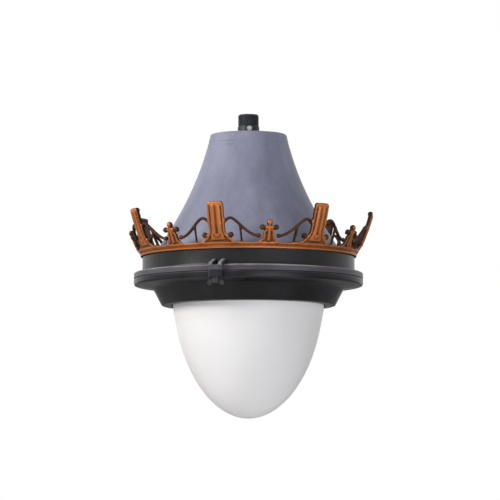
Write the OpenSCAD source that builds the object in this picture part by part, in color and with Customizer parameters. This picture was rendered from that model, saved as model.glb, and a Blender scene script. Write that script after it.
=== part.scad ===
/* [Spigot] */
// Outside radius of the threaded spigot that the lantern hangs by
spigot_r = 20.95; // [18:0.05:24]
// Radius of the plain collar below the thread
collar_r = 21.7; // [21.4:0.1:25]
// Height of that collar above the canopy's top plate
collar_h = 16; // [15:0.5:20]
// Radius of the cable way through the spigot
spigot_bore_r = 16; // [12:0.5:17]
// How far the spigot stands above the canopy's top plate
spigot_h = 40; // [34:1:60]
// How far the spigot reaches below its inner flange
spigot_tail = 18; // [14:1:24]
// Radius of the flange that clamps the canopy from inside
spigot_flange_r = 36; // [32:1:42]
// Thickness of that flange
spigot_flange_t = 6; // [4:0.5:8]
// Corner radius of the thin hexagonal locknut on the canopy
locknut_r = 31; // [28:1:36]
// Thickness of the locknut
locknut_t = 4.5; // [3:0.5:6]
// Shank radius of the radial locking screw in the spigot
lock_screw_r = 3; // [2.5:0.5:4]

/* [Canopy] */
// Height of the spun canopy
canopy_h = 245; // [200:1:280]
// Radius of the canopy at its top plate
canopy_top_r = 76; // [68:1:84]
// How far the canopy's base stands in from the body ring's outside
canopy_margin = 20; // [19:1:24]
// Share of the widening that is straight; the rest curves like a bell
canopy_straight = 0.46; // [0.2:0.02:0.8]
// Sheet thickness of the canopy
canopy_t = 2.5; // [1.5:0.5:3]
// Rounding of the canopy's top corner
canopy_round = 5; // [3:0.5:8]
// Width of the lip turned in at the canopy's base
canopy_lip = 20; // [18:1:24]
// Thickness of the seal under the canopy
canopy_seal_t = 2; // [1:0.5:3]

/* [Body ring] */
// Outside radius of the body ring's upright wall
body_r = 212; // [208:1:216]
// Wall and shelf thickness of the body casting
body_t = 6; // [5:0.5:7]
// Height of the body ring from its shelf to the parting face
body_h = 44; // [40:1:52]
// How far the two flanges at the parting face stand out from the wall
flange_w = 17; // [14:1:22]
// Thickness of the body ring's flange
body_flange_t = 13; // [10:0.5:14]

/* [Coronet] */
// Number of tall leaves, with a trefoil between each two
leaf_count = 7; // [7]
// How far the coronet's foot overhangs the body ring's wall
coronet_overhang = 2; // [0:0.5:4]
// How far the tips of the tall leaves spread beyond the foot
coronet_spread = 35; // [28:1:42]
// Height of the tall leaves
leaf_h = 90; // [80:1:100]
// Widening for each millimetre of height at the foot
coronet_flare = 0.52; // [0.4:0.02:0.6]
// Thickness of the coronet casting
coronet_t = 6; // [4:0.5:7]
// Height of the plain band at the foot
band_h = 12; // [10:1:16]
// Width of a tall leaf above its shoulder
leaf_w = 31; // [26:1:36]
// Radius of the rolled lip at a tall leaf's tip
tip_roll_r = 4.5; // [3.5:0.5:5]
// Width of a tall leaf where it grows out of the band
leaf_foot_w = 96; // [84:1:100]
// Height at which a tall leaf becomes a plain column
leaf_shoulder_h = 36; // [30:1:42]
// Height of the small trefoils
trefoil_h = 55; // [48:1:62]
// Width across a trefoil's arms
trefoil_w = 38; // [32:1:44]
// Width of a trefoil's foot
trefoil_foot_w = 58; // [50:1:64]
// Width of the scroll bars between leaf and trefoil
scroll_w = 5; // [4:0.5:6]
// Height of the scroll's arch
scroll_h = 60; // [54:1:64]

/* [Bowl frame] */
// Gap between the body ring and the closed bowl frame
parting_gap = 0.4; // [0.3:0.1:0.8]
// Thickness of the bowl frame's flange at its edge
frame_flange_t = 13.5; // [11:0.5:15]
// Height of the bowl frame
frame_h = 53; // [48:1:60]
// How far the top of the tapered skirt stands in from the body ring's outside
skirt_inset = 22; // [20:1:25]
// Wall of the skirt's foot outside the bowl's flange
skirt_wall = 7; // [6:0.5:9]
// Height of the lip that carries the bowl
lip_t = 10; // [8:0.5:12]
// Width of the gasket between the frame and the body ring
gasket_w = 7; // [5:0.5:9]
// Depth of the gasket's groove
gasket_depth = 4; // [3:0.5:6]

/* [Bowl] */
// How far the bowl's mouth stands in from the body ring's outside
bowl_margin = 61; // [60:1:66]
// Depth of the bowl below its flange
bowl_depth = 237; // [200:1:260]
// Fullness of the bowl: 2 is an ellipse, less is more pointed
bowl_fullness = 1.8; // [1.5:0.05:2.2]
// Wall of the bowl
bowl_t = 3.5; // [2.5:0.5:4.5]
// Width of the bowl's flange
bowl_flange_w = 16; // [15:0.5:17]
// Thickness of the bowl's flange
bowl_flange_t = 4; // [3:0.5:5]
// Gap between the bowl's neck and the frame's lip
bowl_gap = 2.5; // [1.5:0.5:3]
// Thickness of the bowl's seal
bowl_seal_t = 2; // [1:0.5:3]
// Number of clips that hold the bowl
clip_count = 6; // [4:1:8]

/* [Hinge] */
// Radius of the hinge pin
hinge_pin_r = 4; // [3:0.5:5]
// Radial running clearance round the hinge pin
hinge_clear = 0.06; // [0.03:0.01:0.09]
// Radius of the hinge ears and knuckle
knuckle_r = 9; // [8:0.5:10]
// Width of the frame's knuckle
knuckle_w = 24; // [20:1:30]
// Width of each ear
ear_w = 11; // [9:0.5:14]
// Side clearance between knuckle and ear
ear_gap = 0.4; // [0.3:0.1:0.8]

/* [Catch] */
// Thread radius of the captive wing screw
catch_screw_r = 4; // [3:0.5:5]
// Clearance round that screw
catch_clear = 0.5; // [0.4:0.1:0.8]
// How far the screw enters the body ring's lug
catch_grip = 4.8; // [4:0.2:6]
// Width of the lugs
catch_lug_w = 28; // [24:1:34]
// Span of the screw's wings
wing_span = 34; // [28:1:40]

/* [Control gear] */
// Thickness of the gear tray
tray_t = 2; // [1.5:0.5:3]
// Length of the ballast
ballast_l = 66; // [56:1:74]
// Height of the ballast's core
ballast_h = 54; // [44:1:60]
// Radius of the capacitor
capacitor_r = 18; // [14:1:22]
// Height of the capacitor
capacitor_h = 84; // [60:1:92]
// Width of the ignitor's case
ignitor_w = 30; // [24:1:34]
// Depth of the ignitor's case
ignitor_d = 26; // [20:1:30]
// Height of the ignitor
ignitor_h = 58; // [44:1:66]
// Length of the terminal block
terminal_l = 62; // [50:1:70]

/* [Lamp] */
// Largest radius of the lamp's glass
lamp_r = 35; // [28:1:40]
// Length of the lamp's glass below the lampholder
lamp_h = 126; // [110:1:140]
// Radius of the lamp's cap
cap_r = 13.2; // [12:0.1:14]
// Length of the lamp's cap
cap_h = 26; // [22:1:28]
// Outside radius of the lampholder
holder_r = 22; // [20:0.5:25]
// Drop of the reflector from its flat centre to its rim
reflector_drop = 27; // [20:1:29]
// Radius of the reflector's flat centre
reflector_flat_r = 138; // [120:1:144]

/* [Fasteners] */
// Shank radius of the small screws
screw_r = 2.5; // [2:0.5:3]
// Radial clearance round the small screws
screw_clear = 0.25; // [0.2:0.05:0.4]

/* [Hidden] */
$fn = 64;

// Radii, counted from the body ring's wall
canopy_base_r = body_r - canopy_margin;
flange_r = body_r + flange_w;
coronet_r = body_r + coronet_overhang;
coronet_tip_r = coronet_r + coronet_spread;
bowl_r = body_r - bowl_margin;
bowl_flange_r = bowl_r + bowl_flange_w;
skirt_top_r = body_r - skirt_inset;
skirt_bottom_r = bowl_flange_r + skirt_wall;

// Levels, counted from the canopy's top plate at zero
shelf_z = -canopy_h - canopy_seal_t;
shelf_under_z = shelf_z - body_t;
parting_z = shelf_z - body_h;
frame_z = parting_z - parting_gap;
frame_bottom_z = frame_z - frame_h;
ledge_z = frame_bottom_z + lip_t;
bowl_under_z = ledge_z + bowl_seal_t;
bowl_flange_z = bowl_under_z + bowl_flange_t;
spigot_flange_z = -canopy_t;
spigot_end_z = spigot_flange_z - spigot_flange_t - spigot_tail;
tray_z = shelf_under_z - tray_t;

// Screws: the head is this much wider than the shank and this high
head_r = screw_r * 1.8;
head_h = screw_r * 1.3;
nut_h = screw_r * 1.6;
hole_r = screw_r + screw_clear;

// Radii that follow the canopy's base
canopy_screw_at = canopy_base_r - canopy_lip / 2 - 2.5;
shelf_open_r = canopy_base_r - canopy_lip - 12;
tray_r = canopy_screw_at - head_r - 3;
tray_screw_at = (shelf_open_r + tray_r) / 2;
canopy_screw_count = 6;
tray_screw_count = 4;

// Screws that hold the coronet's foot to the shelf
foot_t = 5;
foot_r = coronet_r - coronet_t - 9;
coronet_screw_at = coronet_r - coronet_t - 4.5;
sector = 360 / leaf_count;
coronet_screw_turn = sector / 4;

// Hinge axis behind the flanges, on the parting gap
hinge_y = flange_r + knuckle_r + 2;
hinge_z = parting_z - parting_gap / 2;
hinge_arm_y = flange_r - 9;
ear_x = knuckle_w / 2 + ear_gap;
pin_end_x = ear_x + ear_w;
pin_clip_t = 1;

// Catch in front of the flanges
catch_y = -flange_r - catch_screw_r - 5;
lug_end_y = catch_y - catch_screw_r - 6;
lug_root_y = -flange_r + 10;
lug_under_z = frame_z - frame_flange_t;
washer_t = 1.5;
wing_h = 14;
rib_w = 7;
rib_at = catch_screw_r + catch_clear + 1.5 + rib_w / 2;

// Bowl clips stand on bosses inside the frame
clip_boss_r = 5;
clip_at = bowl_flange_r + clip_boss_r + 2.5;
clip_heel_at = clip_at + head_r;
clip_t = 2;
clip_z = bowl_flange_z + 4;
clip_boss_h = 5;
clip_hole_h = 8;
clip_w = 12;
clip_turn = 30;

// Reflector, lampholder and lamp under the tray
reflector_t = 1.2;
reflector_hole_r = holder_r + 16;
reflector_rim_r = body_r - body_t - 10;
reflector_top_z = tray_z;
reflector_rim_z = reflector_top_z - reflector_t - reflector_drop;
bracket_t = 2;
bracket_drop = 12;
bracket_w = 18;
bracket_foot_l = 16;
holder_top_z = tray_z - bracket_drop;
holder_h = cap_h + 22;
holder_end_z = holder_top_z - holder_h;
cap_top_z = holder_end_z + cap_h;
cap_clear = 0.5;

// Places of the gear on the tray
ballast_x = -58;
capacitor_at = [62, 44];
ignitor_at = [60, -42];
terminal_at = [-6, 82];
ballast_w = 56;
foot_reach = 14;
ear_t = 2;
ear_reach = screw_r * 2.4;
ignitor_screw_x = ignitor_w / 2 + head_r + 2.5;
terminal_d = 18;

canopy_steps = 12;
bowl_steps = 24;
coronet_steps = 4;

function canopy_edge(u, inset) =
    [canopy_top_r + (canopy_base_r - canopy_top_r)
        * (canopy_straight * u + (1 - canopy_straight) * u * u) - inset, -canopy_h * u];

function bowl_edge(a, inset) =
    [(bowl_r - inset) * cos(a), bowl_under_z - (bowl_depth - inset) * pow(sin(a), 2 / bowl_fullness)];

// Outside radius of the coronet at height h above its foot
coronet_curl = (coronet_r + coronet_flare * leaf_h - coronet_tip_r) / (leaf_h * leaf_h);
function coronet_edge(h) = coronet_r + coronet_flare * h - coronet_curl * h * h;

// Repeats its children count times round the axis
module ring_of(count, radius, turn = 0) {
    for (i = [0 : count - 1])
        rotate([0, 0, turn + i * 360 / count]) translate([0, -radius, 0]) children();
}

// Screw holes round the axis, each h high from height z
module drilled(count, radius, z, h, turn = 0) {
    ring_of(count, radius, turn) translate([0, 0, z]) cylinder(r = hole_r, h = h);
}

// A screw whose head is seated at z = 0, below or above its shank
module screw(length, r = screw_r) {
    translate([0, 0, -r * 1.3]) cylinder(r = r * 1.8, h = r * 1.3);
    cylinder(r = r, h = length);
}

module hex_nut(r, h, bore) {
    difference() {
        cylinder(r = r, h = h, $fn = 6);
        translate([0, 0, -1]) cylinder(r = bore, h = h + 2);
    }
}

module spigot() {
    under_z = spigot_flange_z - spigot_flange_t;
    color("dimgray") difference() {
        rotate_extrude() polygon([
            [spigot_bore_r, spigot_end_z], [collar_r, spigot_end_z],
            [collar_r, under_z], [spigot_flange_r, under_z],
            [spigot_flange_r, spigot_flange_z], [collar_r, spigot_flange_z],
            [collar_r, collar_h], [spigot_r, collar_h],
            [spigot_r, spigot_h - 1], [spigot_r - 1, spigot_h], [spigot_bore_r, spigot_h]
        ]);
        lock_screw_place() translate([0, 0, -collar_r])
            cylinder(r = lock_screw_r + screw_clear, h = collar_r + 1);
    }
}

// Radial place of the locking screw, a little right of the front
module lock_screw_place() {
    rotate([0, 0, 20]) translate([0, 0, locknut_t + lock_screw_r * 1.8 + 0.5])
        rotate([90, 0, 0]) translate([0, 0, collar_r]) children();
}

module spigot_locknut() {
    color("dimgray") hex_nut(locknut_r, locknut_t, collar_r + screw_clear);
}

module spigot_lock_screw() {
    shank = collar_r - spigot_bore_r;
    color("silver") lock_screw_place() {
        translate([0, 0, 0.02]) cylinder(r = lock_screw_r * 1.8, h = 5, $fn = 6);
        translate([0, 0, -shank]) cylinder(r = lock_screw_r, h = shank + 1);
    }
}

module cable_gland() {
    top_z = spigot_end_z;
    color("gainsboro") difference() {
        union() {
            translate([0, 0, top_z - 8]) cylinder(r = collar_r, h = 8, $fn = 6);
            translate([0, 0, top_z]) cylinder(r = spigot_bore_r - screw_clear, h = 10);
            translate([0, 0, top_z - 20]) cylinder(r = spigot_r - 6, h = 13);
        }
        translate([0, 0, top_z - 30]) cylinder(r = 5.5, h = 50);
    }
}

module canopy() {
    last = canopy_edge(1, 0)[0];
    inner = [for (i = [canopy_steps : -1 : 1]) canopy_edge(i / canopy_steps, canopy_t)];
    outer = [for (i = [1 : canopy_steps]) canopy_edge(i / canopy_steps, 0)];
    start = canopy_edge(canopy_round / canopy_h, 0)[0];
    corner = [for (a = [90 : -30 : 0])
        [start - canopy_round + canopy_round * cos(a), -canopy_round + canopy_round * sin(a)]];
    under = canopy_edge(canopy_round / canopy_h, canopy_t)[0];
    lip_in_r = canopy_base_r - canopy_lip;
    color("slategray") difference() {
        rotate_extrude() polygon(concat(
            [[collar_r + screw_clear, 0]], corner, outer,
            [[lip_in_r, -canopy_h], [lip_in_r, -canopy_h + canopy_t],
             [last - canopy_t - 1, -canopy_h + canopy_t]],
            [for (p = inner) if (p[1] > -canopy_h + canopy_t) p],
            [[under - 1, -canopy_t - 1], [under - 2.5, -canopy_t], [collar_r + screw_clear, -canopy_t]]
        ));
        drilled(canopy_screw_count, canopy_screw_at, -canopy_h - 5, 10);
    }
}

module canopy_seal() {
    color("black") difference() {
        translate([0, 0, shelf_z]) cylinder(r = canopy_base_r - 1, h = canopy_seal_t);
        translate([0, 0, shelf_z - 1]) cylinder(r = canopy_base_r - canopy_lip, h = canopy_seal_t + 2);
        drilled(canopy_screw_count, canopy_screw_at, shelf_z - 5, 20);
    }
}

module canopy_screws() {
    color("silver") ring_of(canopy_screw_count, canopy_screw_at) translate([0, 0, shelf_under_z])
        screw(body_t + canopy_seal_t + canopy_t + nut_h + 1);
}

module canopy_nuts() {
    color("silver") ring_of(canopy_screw_count, canopy_screw_at) translate([0, 0, -canopy_h + canopy_t])
        hex_nut(head_r, nut_h, hole_r);
}

module body_ring() {
    inner_r = body_r - body_t;
    flange_z = parting_z + body_flange_t;
    color("dimgray") difference() {
        union() {
            rotate_extrude() polygon([
                [shelf_open_r, shelf_under_z], [shelf_open_r, shelf_z], [body_r - 1.5, shelf_z],
                [body_r, shelf_z - 1.5], [body_r, flange_z + 4], [body_r + 1.2, flange_z + 1.2],
                [body_r + 4, flange_z], [flange_r - 3, flange_z - 0.6], [flange_r - 0.8, flange_z - 1.6],
                [flange_r, flange_z - 3.5], [flange_r, parting_z + 1], [flange_r - 1, parting_z],
                [inner_r - 2, parting_z], [inner_r - 2, shelf_under_z]
            ]);
            hinge_ears();
            catch_lug();
        }
        rotate([0, 90, 0]) translate([-hinge_z, hinge_y, 0])
            cylinder(r = hinge_pin_r + hinge_clear, h = 4 * pin_end_x, center = true);
        translate([0, catch_y, parting_z - 1]) cylinder(r = catch_screw_r + catch_clear, h = body_flange_t);
        drilled(canopy_screw_count, canopy_screw_at, shelf_z - body_t - 5, 20);
        drilled(tray_screw_count, tray_screw_at, shelf_under_z - 5, 20, 45);
        drilled(leaf_count, coronet_screw_at, shelf_under_z - 1, 20, coronet_screw_turn);
    }
}

// Two cast ears behind the flange, with arms that stay above the parting face
module hinge_ears() {
    for (side = [-1, 1]) translate([side * (ear_x + ear_w / 2), 0, 0]) {
        translate([0, hinge_y, hinge_z]) rotate([0, 90, 0]) cylinder(r = knuckle_r, h = ear_w, center = true);
        translate([-ear_w / 2, hinge_arm_y, parting_z]) cube([ear_w, hinge_y - hinge_arm_y, knuckle_r - 0.5]);
    }
}

// Cast lug for the wing screw, with a rib on each side that runs up the wall
module catch_lug() {
    lug_t = body_flange_t - 3;
    translate([0, 0, parting_z]) linear_extrude(lug_t) lug_outline();
    for (side = [-1, 1])
        translate([side * rib_at - rib_w / 2, 0, parting_z]) rotate([90, 0, 90])
            linear_extrude(rib_w) polygon([
            [lug_end_y + 3, lug_t - 1], [lug_end_y + 5, body_flange_t + 2], [-body_r - 3, body_flange_t + 11],
            [-body_r + 2, body_flange_t + 11], [-body_r + 2, lug_t - 1]
        ]);
}

module lug_outline() {
    corner = 5;
    polygon([
        [-catch_lug_w / 2, lug_root_y], [-catch_lug_w / 2, lug_end_y + corner],
        [-catch_lug_w / 2 + corner, lug_end_y], [catch_lug_w / 2 - corner, lug_end_y],
        [catch_lug_w / 2, lug_end_y + corner], [catch_lug_w / 2, lug_root_y]
    ]);
}

// Coronet: a flared cast ring cut into leaves, trefoils and scrolls

// The flared wall from its foot to the tips, lifted outwards where a relief stands proud
module flare_wall(lift = 0) {
    heights = [for (i = [0 : coronet_steps]) i * (leaf_h + 4) / coronet_steps];
    back = len(heights) - 1;
    rotate_extrude() polygon(concat(
        [for (h = heights) [coronet_edge(h) + lift, shelf_z + h]],
        [for (i = [back : -1 : 0]) [coronet_edge(heights[i]) - coronet_t, shelf_z + heights[i]]]
    ));
}

// Pushes a flat outline out through the wall, at an angle round the axis
module on_wall(angle) {
    start_r = coronet_r - coronet_t - 12;
    rotate([0, 0, angle]) translate([0, -start_r, shelf_z]) rotate([90, 0, 0])
        linear_extrude(coronet_tip_r - start_r + 12) children();
}

// Both halves of a symmetrical outline from the points of its right half, bottom to top
function both_halves(half) = concat(half, [for (i = [len(half) - 1 : -1 : 0]) [-half[i][0], half[i][1]]]);

// A hollow curve from a foot corner up to a narrow stem
function hollow_curve(foot_x, stem_x, foot_y, stem_y, count) =
    [for (i = [0 : count]) let (a = 90 * i / count)
        [foot_x - (foot_x - stem_x) * sin(a), stem_y - (stem_y - foot_y) * cos(a)]];

module tall_leaf_outline() {
    polygon(both_halves(concat(
        [[leaf_foot_w / 2, 2]],
        hollow_curve(leaf_foot_w / 2, leaf_w / 2, band_h - 2, leaf_shoulder_h, 5),
        [[leaf_w / 2 + 1, leaf_h - 14], [leaf_w / 2, leaf_h - 4], [leaf_w / 2 - 4, leaf_h - 1], [3, leaf_h]]
    )));
}

// The raised middle of a tall leaf
module leaf_relief_outline() {
    inset = 6;
    polygon(both_halves([
        [leaf_w / 2 - inset + 3, band_h + 4], [leaf_w / 2 - inset, leaf_shoulder_h],
        [leaf_w / 2 - inset, leaf_h - inset - 4], [2, leaf_h - inset]
    ]));
}

module trefoil_outline() {
    ball = 5;
    arm_h = trefoil_h - 15;
    polygon(both_halves(concat(
        [[trefoil_foot_w / 2, 2]],
        hollow_curve(trefoil_foot_w / 2, 11, band_h - 2, band_h + 12, 3),
        [[11, arm_h - 9], [6, arm_h - 3], [6, arm_h + 3], [4, trefoil_h - 8]]
    )));
    translate([0, trefoil_h - ball - 0.5]) circle(r = ball + 0.5, $fn = 12);
    for (side = [-1, 1]) {
        translate([side * (trefoil_w / 2 - ball), arm_h]) circle(r = ball, $fn = 10);
        translate([side * trefoil_w / 4 - trefoil_w / 8, arm_h - 3]) square([trefoil_w / 4, 6]);
    }
}

// Centre line of the arched scroll, from the leaf's column down to the trefoil, as seen
// from the middle of the space between them
scroll_reach = sector / 2 * PI / 180 * coronet_edge(scroll_h * 0.6);
function scroll_line(u) = let (arch = 0.24)
    [scroll_reach * (0.12 + 0.64 * u),
     u < arch ? scroll_h - 13 + 11 * sin(90 * u / arch)
              : 24 + (scroll_h - 26) * (0.5 + 0.5 * cos(180 * pow((u - arch) / (1 - arch), 0.8)))];

module scroll_outline() {
    points = [for (i = [0 : 10]) scroll_line(i / 10)];
    side = [for (i = [0 : 10]) let (
        a = points[max(i - 1, 0)], b = points[min(i + 1, 10)],
        d = b - a, l = norm(d)) [-d[1], d[0]] / l * scroll_w / 2];
    polygon(concat(points + side, [for (i = [10 : -1 : 0]) points[i] - side[i]]));
    drop = scroll_line(0.5);
    translate([drop[0] - scroll_w * 0.4, band_h - 2]) square([scroll_w * 0.8, drop[1] - band_h + 2]);
    translate([leaf_w / 2 + 6 + scroll_w, leaf_shoulder_h - 10]) circle(r = scroll_w, $fn = 10);
    translate([leaf_w / 2 + 2, leaf_shoulder_h - 12]) square([8, 4]);
}

// The rolled lip at the tip of each tall leaf
module tip_rolls() {
    ring_of(leaf_count, coronet_tip_r - tip_roll_r) translate([0, 0, shelf_z + leaf_h - tip_roll_r])
        rotate([0, 90, 0]) cylinder(r = tip_roll_r, h = leaf_w - 3, center = true);
}

module coronet() {
    color("peru") difference() {
        union() {
            tip_rolls();
            rotate_extrude() polygon([
                [foot_r, shelf_z], [coronet_r + 1.5, shelf_z], [coronet_r + 2.5, shelf_z + 1.5],
                [coronet_r + 2, shelf_z + 3.5], [coronet_edge(5), shelf_z + 5],
                [coronet_edge(band_h), shelf_z + band_h],
                [coronet_edge(band_h) - coronet_t + 1, shelf_z + band_h],
                [coronet_edge(foot_t) - coronet_t, shelf_z + foot_t], [foot_r, shelf_z + foot_t]
            ]);
            intersection() {
                flare_wall();
                for (k = [0 : leaf_count - 1]) {
                    on_wall(k * sector) {
                        tall_leaf_outline();
                        scroll_outline();
                        mirror([1, 0]) scroll_outline();
                    }
                    on_wall((k + 0.5) * sector) trefoil_outline();
                }
            }
            intersection() {
                flare_wall(2);
                for (k = [0 : leaf_count - 1]) on_wall(k * sector) leaf_relief_outline();
            }
        }
        drilled(leaf_count, coronet_screw_at, shelf_z - 1, foot_t + 2, coronet_screw_turn);
    }
}

module coronet_screws() {
    color("silver") ring_of(leaf_count, coronet_screw_at, coronet_screw_turn)
        translate([0, 0, shelf_z + foot_t])
        mirror([0, 0, 1]) screw(foot_t + body_t + 1);
}

module gear_tray() {
    color("gainsboro") difference() {
        translate([0, 0, tray_z]) cylinder(r = tray_r, h = tray_t);
        drilled(tray_screw_count, tray_screw_at, tray_z - 5, 20, 45);
        drilled(4, reflector_screw_at, tray_z - 5, 20, 45);
        translate([0, 0, tray_z - 5]) {
            cylinder(r = 8, h = 20);
            bracket_screw_places() cylinder(r = hole_r, h = 20);
            ballast_screw_places() cylinder(r = hole_r, h = 20);
            gear_screw_places() cylinder(r = hole_r, h = 20);
            translate(capacitor_at) cylinder(r = 4 + screw_clear, h = 20);
        }
    }
}

module tray_screws() {
    color("silver") ring_of(tray_screw_count, tray_screw_at, 45) translate([0, 0, tray_z])
        screw(tray_t + body_t + 1);
}

module ballast_screw_places() {
    for (end = [-1, 1]) translate([ballast_x, end * (ballast_l + foot_reach) / 2]) children();
}

module ballast() {
    base_z = shelf_under_z;
    core_w = ballast_w - 12;
    color("dimgray") difference() {
        union() {
            translate([ballast_x - core_w / 2, -ballast_l / 2 - foot_reach, base_z])
                cube([core_w, ballast_l + 2 * foot_reach, 2]);
            translate([ballast_x - core_w / 2, -ballast_l / 2, base_z]) cube([core_w, ballast_l, ballast_h]);
            translate([ballast_x - ballast_w / 2, -ballast_l / 2 + 12, base_z + 12])
                cube([ballast_w, ballast_l - 24, ballast_h - 24]);
            translate([ballast_x - 8, -ballast_l / 2 - 6, base_z + ballast_h - 16]) cube([16, 6, 12]);
        }
        translate([0, 0, base_z - 5]) ballast_screw_places() cylinder(r = hole_r, h = 20);
    }
}

module ballast_screws() {
    color("silver") translate([0, 0, shelf_under_z + 2]) ballast_screw_places()
        mirror([0, 0, 1]) screw(2 + tray_t + 0.5, screw_r);
}

module capacitor() {
    color("lightgray") translate([capacitor_at[0], capacitor_at[1], shelf_under_z]) {
        rotate_extrude() polygon([
            [0, 0], [capacitor_r - 2, 0], [capacitor_r, 2], [capacitor_r, capacitor_h - 3],
            [capacitor_r - 3, capacitor_h], [0, capacitor_h]
        ]);
        translate([0, 0, -9]) cylinder(r = 4, h = 10);
        for (side = [-1, 1]) translate([side * 7 - 0.4, -3.15, capacitor_h - 1]) cube([0.8, 6.3, 9]);
    }
}

module capacitor_nut() {
    color("silver") translate([capacitor_at[0], capacitor_at[1], tray_z - nut_h])
        hex_nut(7.5, nut_h, 4 + screw_clear);
}

module gear_screw_places() {
    for (x = [-1, 1]) translate([ignitor_at[0] + x * ignitor_screw_x, ignitor_at[1]]) children();
    for (x = [-1, 1]) translate([terminal_at[0] + x * (terminal_l / 2 - 5), terminal_at[1]]) children();
}

module ignitor() {
    translate([ignitor_at[0], ignitor_at[1], shelf_under_z]) color("white") difference() {
        union() {
            translate([-ignitor_w / 2, -ignitor_d / 2, 0]) cube([ignitor_w, ignitor_d, ignitor_h]);
            translate([-ignitor_screw_x - ear_reach, -ear_reach * 1.5, 0])
                cube([2 * (ignitor_screw_x + ear_reach), ear_reach * 3, ear_t]);
            translate([-ignitor_w * 0.3, -ignitor_d * 0.3, ignitor_h])
                cube([ignitor_w * 0.6, ignitor_d * 0.6, ear_reach]);
        }
        for (side = [-1, 1]) translate([side * ignitor_screw_x, 0, -1]) cylinder(r = hole_r, h = 5);
    }
}

module terminal_block() {
    poles = 3;
    pitch = (terminal_l - 20) / poles;
    translate([terminal_at[0], terminal_at[1], shelf_under_z]) color("white") difference() {
        union() {
            translate([-terminal_l / 2, -terminal_d / 2, 0]) cube([terminal_l, terminal_d, ear_t]);
            for (i = [0 : poles - 1])
                translate([-terminal_l / 2 + 10 + i * pitch + 0.5, -terminal_d / 2, 0])
                    cube([pitch - 1, terminal_d, 15]);
            translate([-terminal_l / 2 + 10, -terminal_d / 3, 0])
                cube([terminal_l - 20, terminal_d * 2 / 3, 12]);
        }
        for (x = [-1, 1]) translate([x * (terminal_l / 2 - 5), 0, -1]) cylinder(r = hole_r, h = 5);
        for (i = [0 : poles - 1]) translate([-terminal_l / 2 + 10 + (i + 0.5) * pitch, 0, 7]) {
            rotate([90, 0, 0]) cylinder(r = 2.6, h = 30, center = true);
            cylinder(r = 3, h = 20);
        }
    }
}

module gear_screws() {
    color("silver") translate([0, 0, shelf_under_z + 2]) gear_screw_places()
        mirror([0, 0, 1]) screw(2 + tray_t + 0.5);
}

reflector_screw_at = reflector_flat_r - 24;

module reflector() {
    slope = atan2(reflector_drop, reflector_rim_r - reflector_flat_r);
    wall = reflector_t / cos(slope);
    low = reflector_top_z - reflector_t;
    color("white") difference() {
        rotate_extrude() polygon([
            [reflector_hole_r, reflector_top_z], [reflector_flat_r, reflector_top_z],
            [reflector_rim_r - 3,
                reflector_rim_z + wall + reflector_drop * 3 / (reflector_rim_r - reflector_flat_r)],
            [reflector_rim_r, reflector_rim_z + reflector_t],
            [reflector_rim_r + 2, reflector_rim_z + reflector_t],
            [reflector_rim_r + 2, reflector_rim_z - 2],
            [reflector_rim_r + 2 - reflector_t, reflector_rim_z - 2],
            [reflector_rim_r + 2 - reflector_t, reflector_rim_z], [reflector_rim_r - 1, reflector_rim_z],
            [reflector_flat_r, low], [reflector_hole_r, low]
        ]);
        drilled(4, reflector_screw_at, tray_z - 5, 20, 45);
        translate([0, 0, tray_z - 10]) {
            ballast_screw_places() cylinder(r = head_r, h = 20);
            gear_screw_places() cylinder(r = head_r, h = 20);
            translate(capacitor_at) cylinder(r = 9, h = 20);
        }
    }
}

module reflector_screws() {
    color("silver") ring_of(4, reflector_screw_at, 45) translate([0, 0, tray_z - reflector_t])
        screw(reflector_t + tray_t + 1);
}

bracket_foot_x = holder_r + 6;
module bracket_screw_places() {
    for (side = [-1, 1]) translate([side * bracket_foot_x, 0]) children();
}

module lampholder_bracket() {
    leg_x = bracket_foot_x - bracket_foot_l / 2;
    color("silver") difference() {
        union() {
            for (side = [-1, 1]) {
                translate([side * bracket_foot_x - bracket_foot_l / 2, -bracket_w / 2, tray_z - bracket_t])
                    cube([bracket_foot_l, bracket_w, bracket_t]);
                translate([side * leg_x - bracket_t / 2, -bracket_w / 2, holder_top_z])
                    cube([bracket_t, bracket_w, bracket_drop]);
            }
            translate([-leg_x, -bracket_w / 2, holder_top_z]) cube([2 * leg_x, bracket_w, bracket_t]);
        }
        translate([0, 0, tray_z - 10]) bracket_screw_places() cylinder(r = hole_r, h = 20);
        translate([0, 0, holder_top_z - 1]) cylinder(r = 5, h = bracket_t + 2);
    }
}

module bracket_screws() {
    color("silver") translate([0, 0, tray_z - bracket_t]) bracket_screw_places()
        screw(bracket_t + tray_t + 1);
}

module lampholder() {
    color("whitesmoke") difference() {
        rotate_extrude() polygon([
            [0, holder_top_z], [holder_r - 7, holder_top_z], [holder_r - 6, holder_top_z - 10],
            [holder_r - 1, holder_top_z - 13],
            [holder_r - 1, holder_end_z + 12], [holder_r, holder_end_z + 11],
            [holder_r, holder_end_z + 2], [holder_r - 2, holder_end_z], [0, holder_end_z]
        ]);
        translate([0, 0, holder_end_z - 1]) cylinder(r = cap_r + cap_clear, h = cap_h + 1);
    }
}

// A sealed lamp: screw cap, neck and elliptical glass in one
module lamp() {
    neck_r = cap_r + 2;
    glass = [for (a = [0 : 10 : 90])
        [lamp_r * cos(a), holder_end_z - lamp_h * 0.58 - lamp_h * 0.42 * sin(a)]];
    shoulder = [for (a = [10 : 16 : 74])
        [neck_r + (lamp_r - neck_r) * cos(a), holder_end_z - lamp_h * 0.58 + lamp_h * 0.45 * sin(a)]];
    color("whitesmoke") rotate_extrude() polygon(concat(
        [[0, cap_top_z], [5, cap_top_z], [cap_r, cap_top_z - 5], [cap_r, holder_end_z - 0.5],
         [neck_r, holder_end_z - 1]],
        [for (i = [len(shoulder) - 1 : -1 : 0]) shoulder[i]], glass
    ));
}

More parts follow.
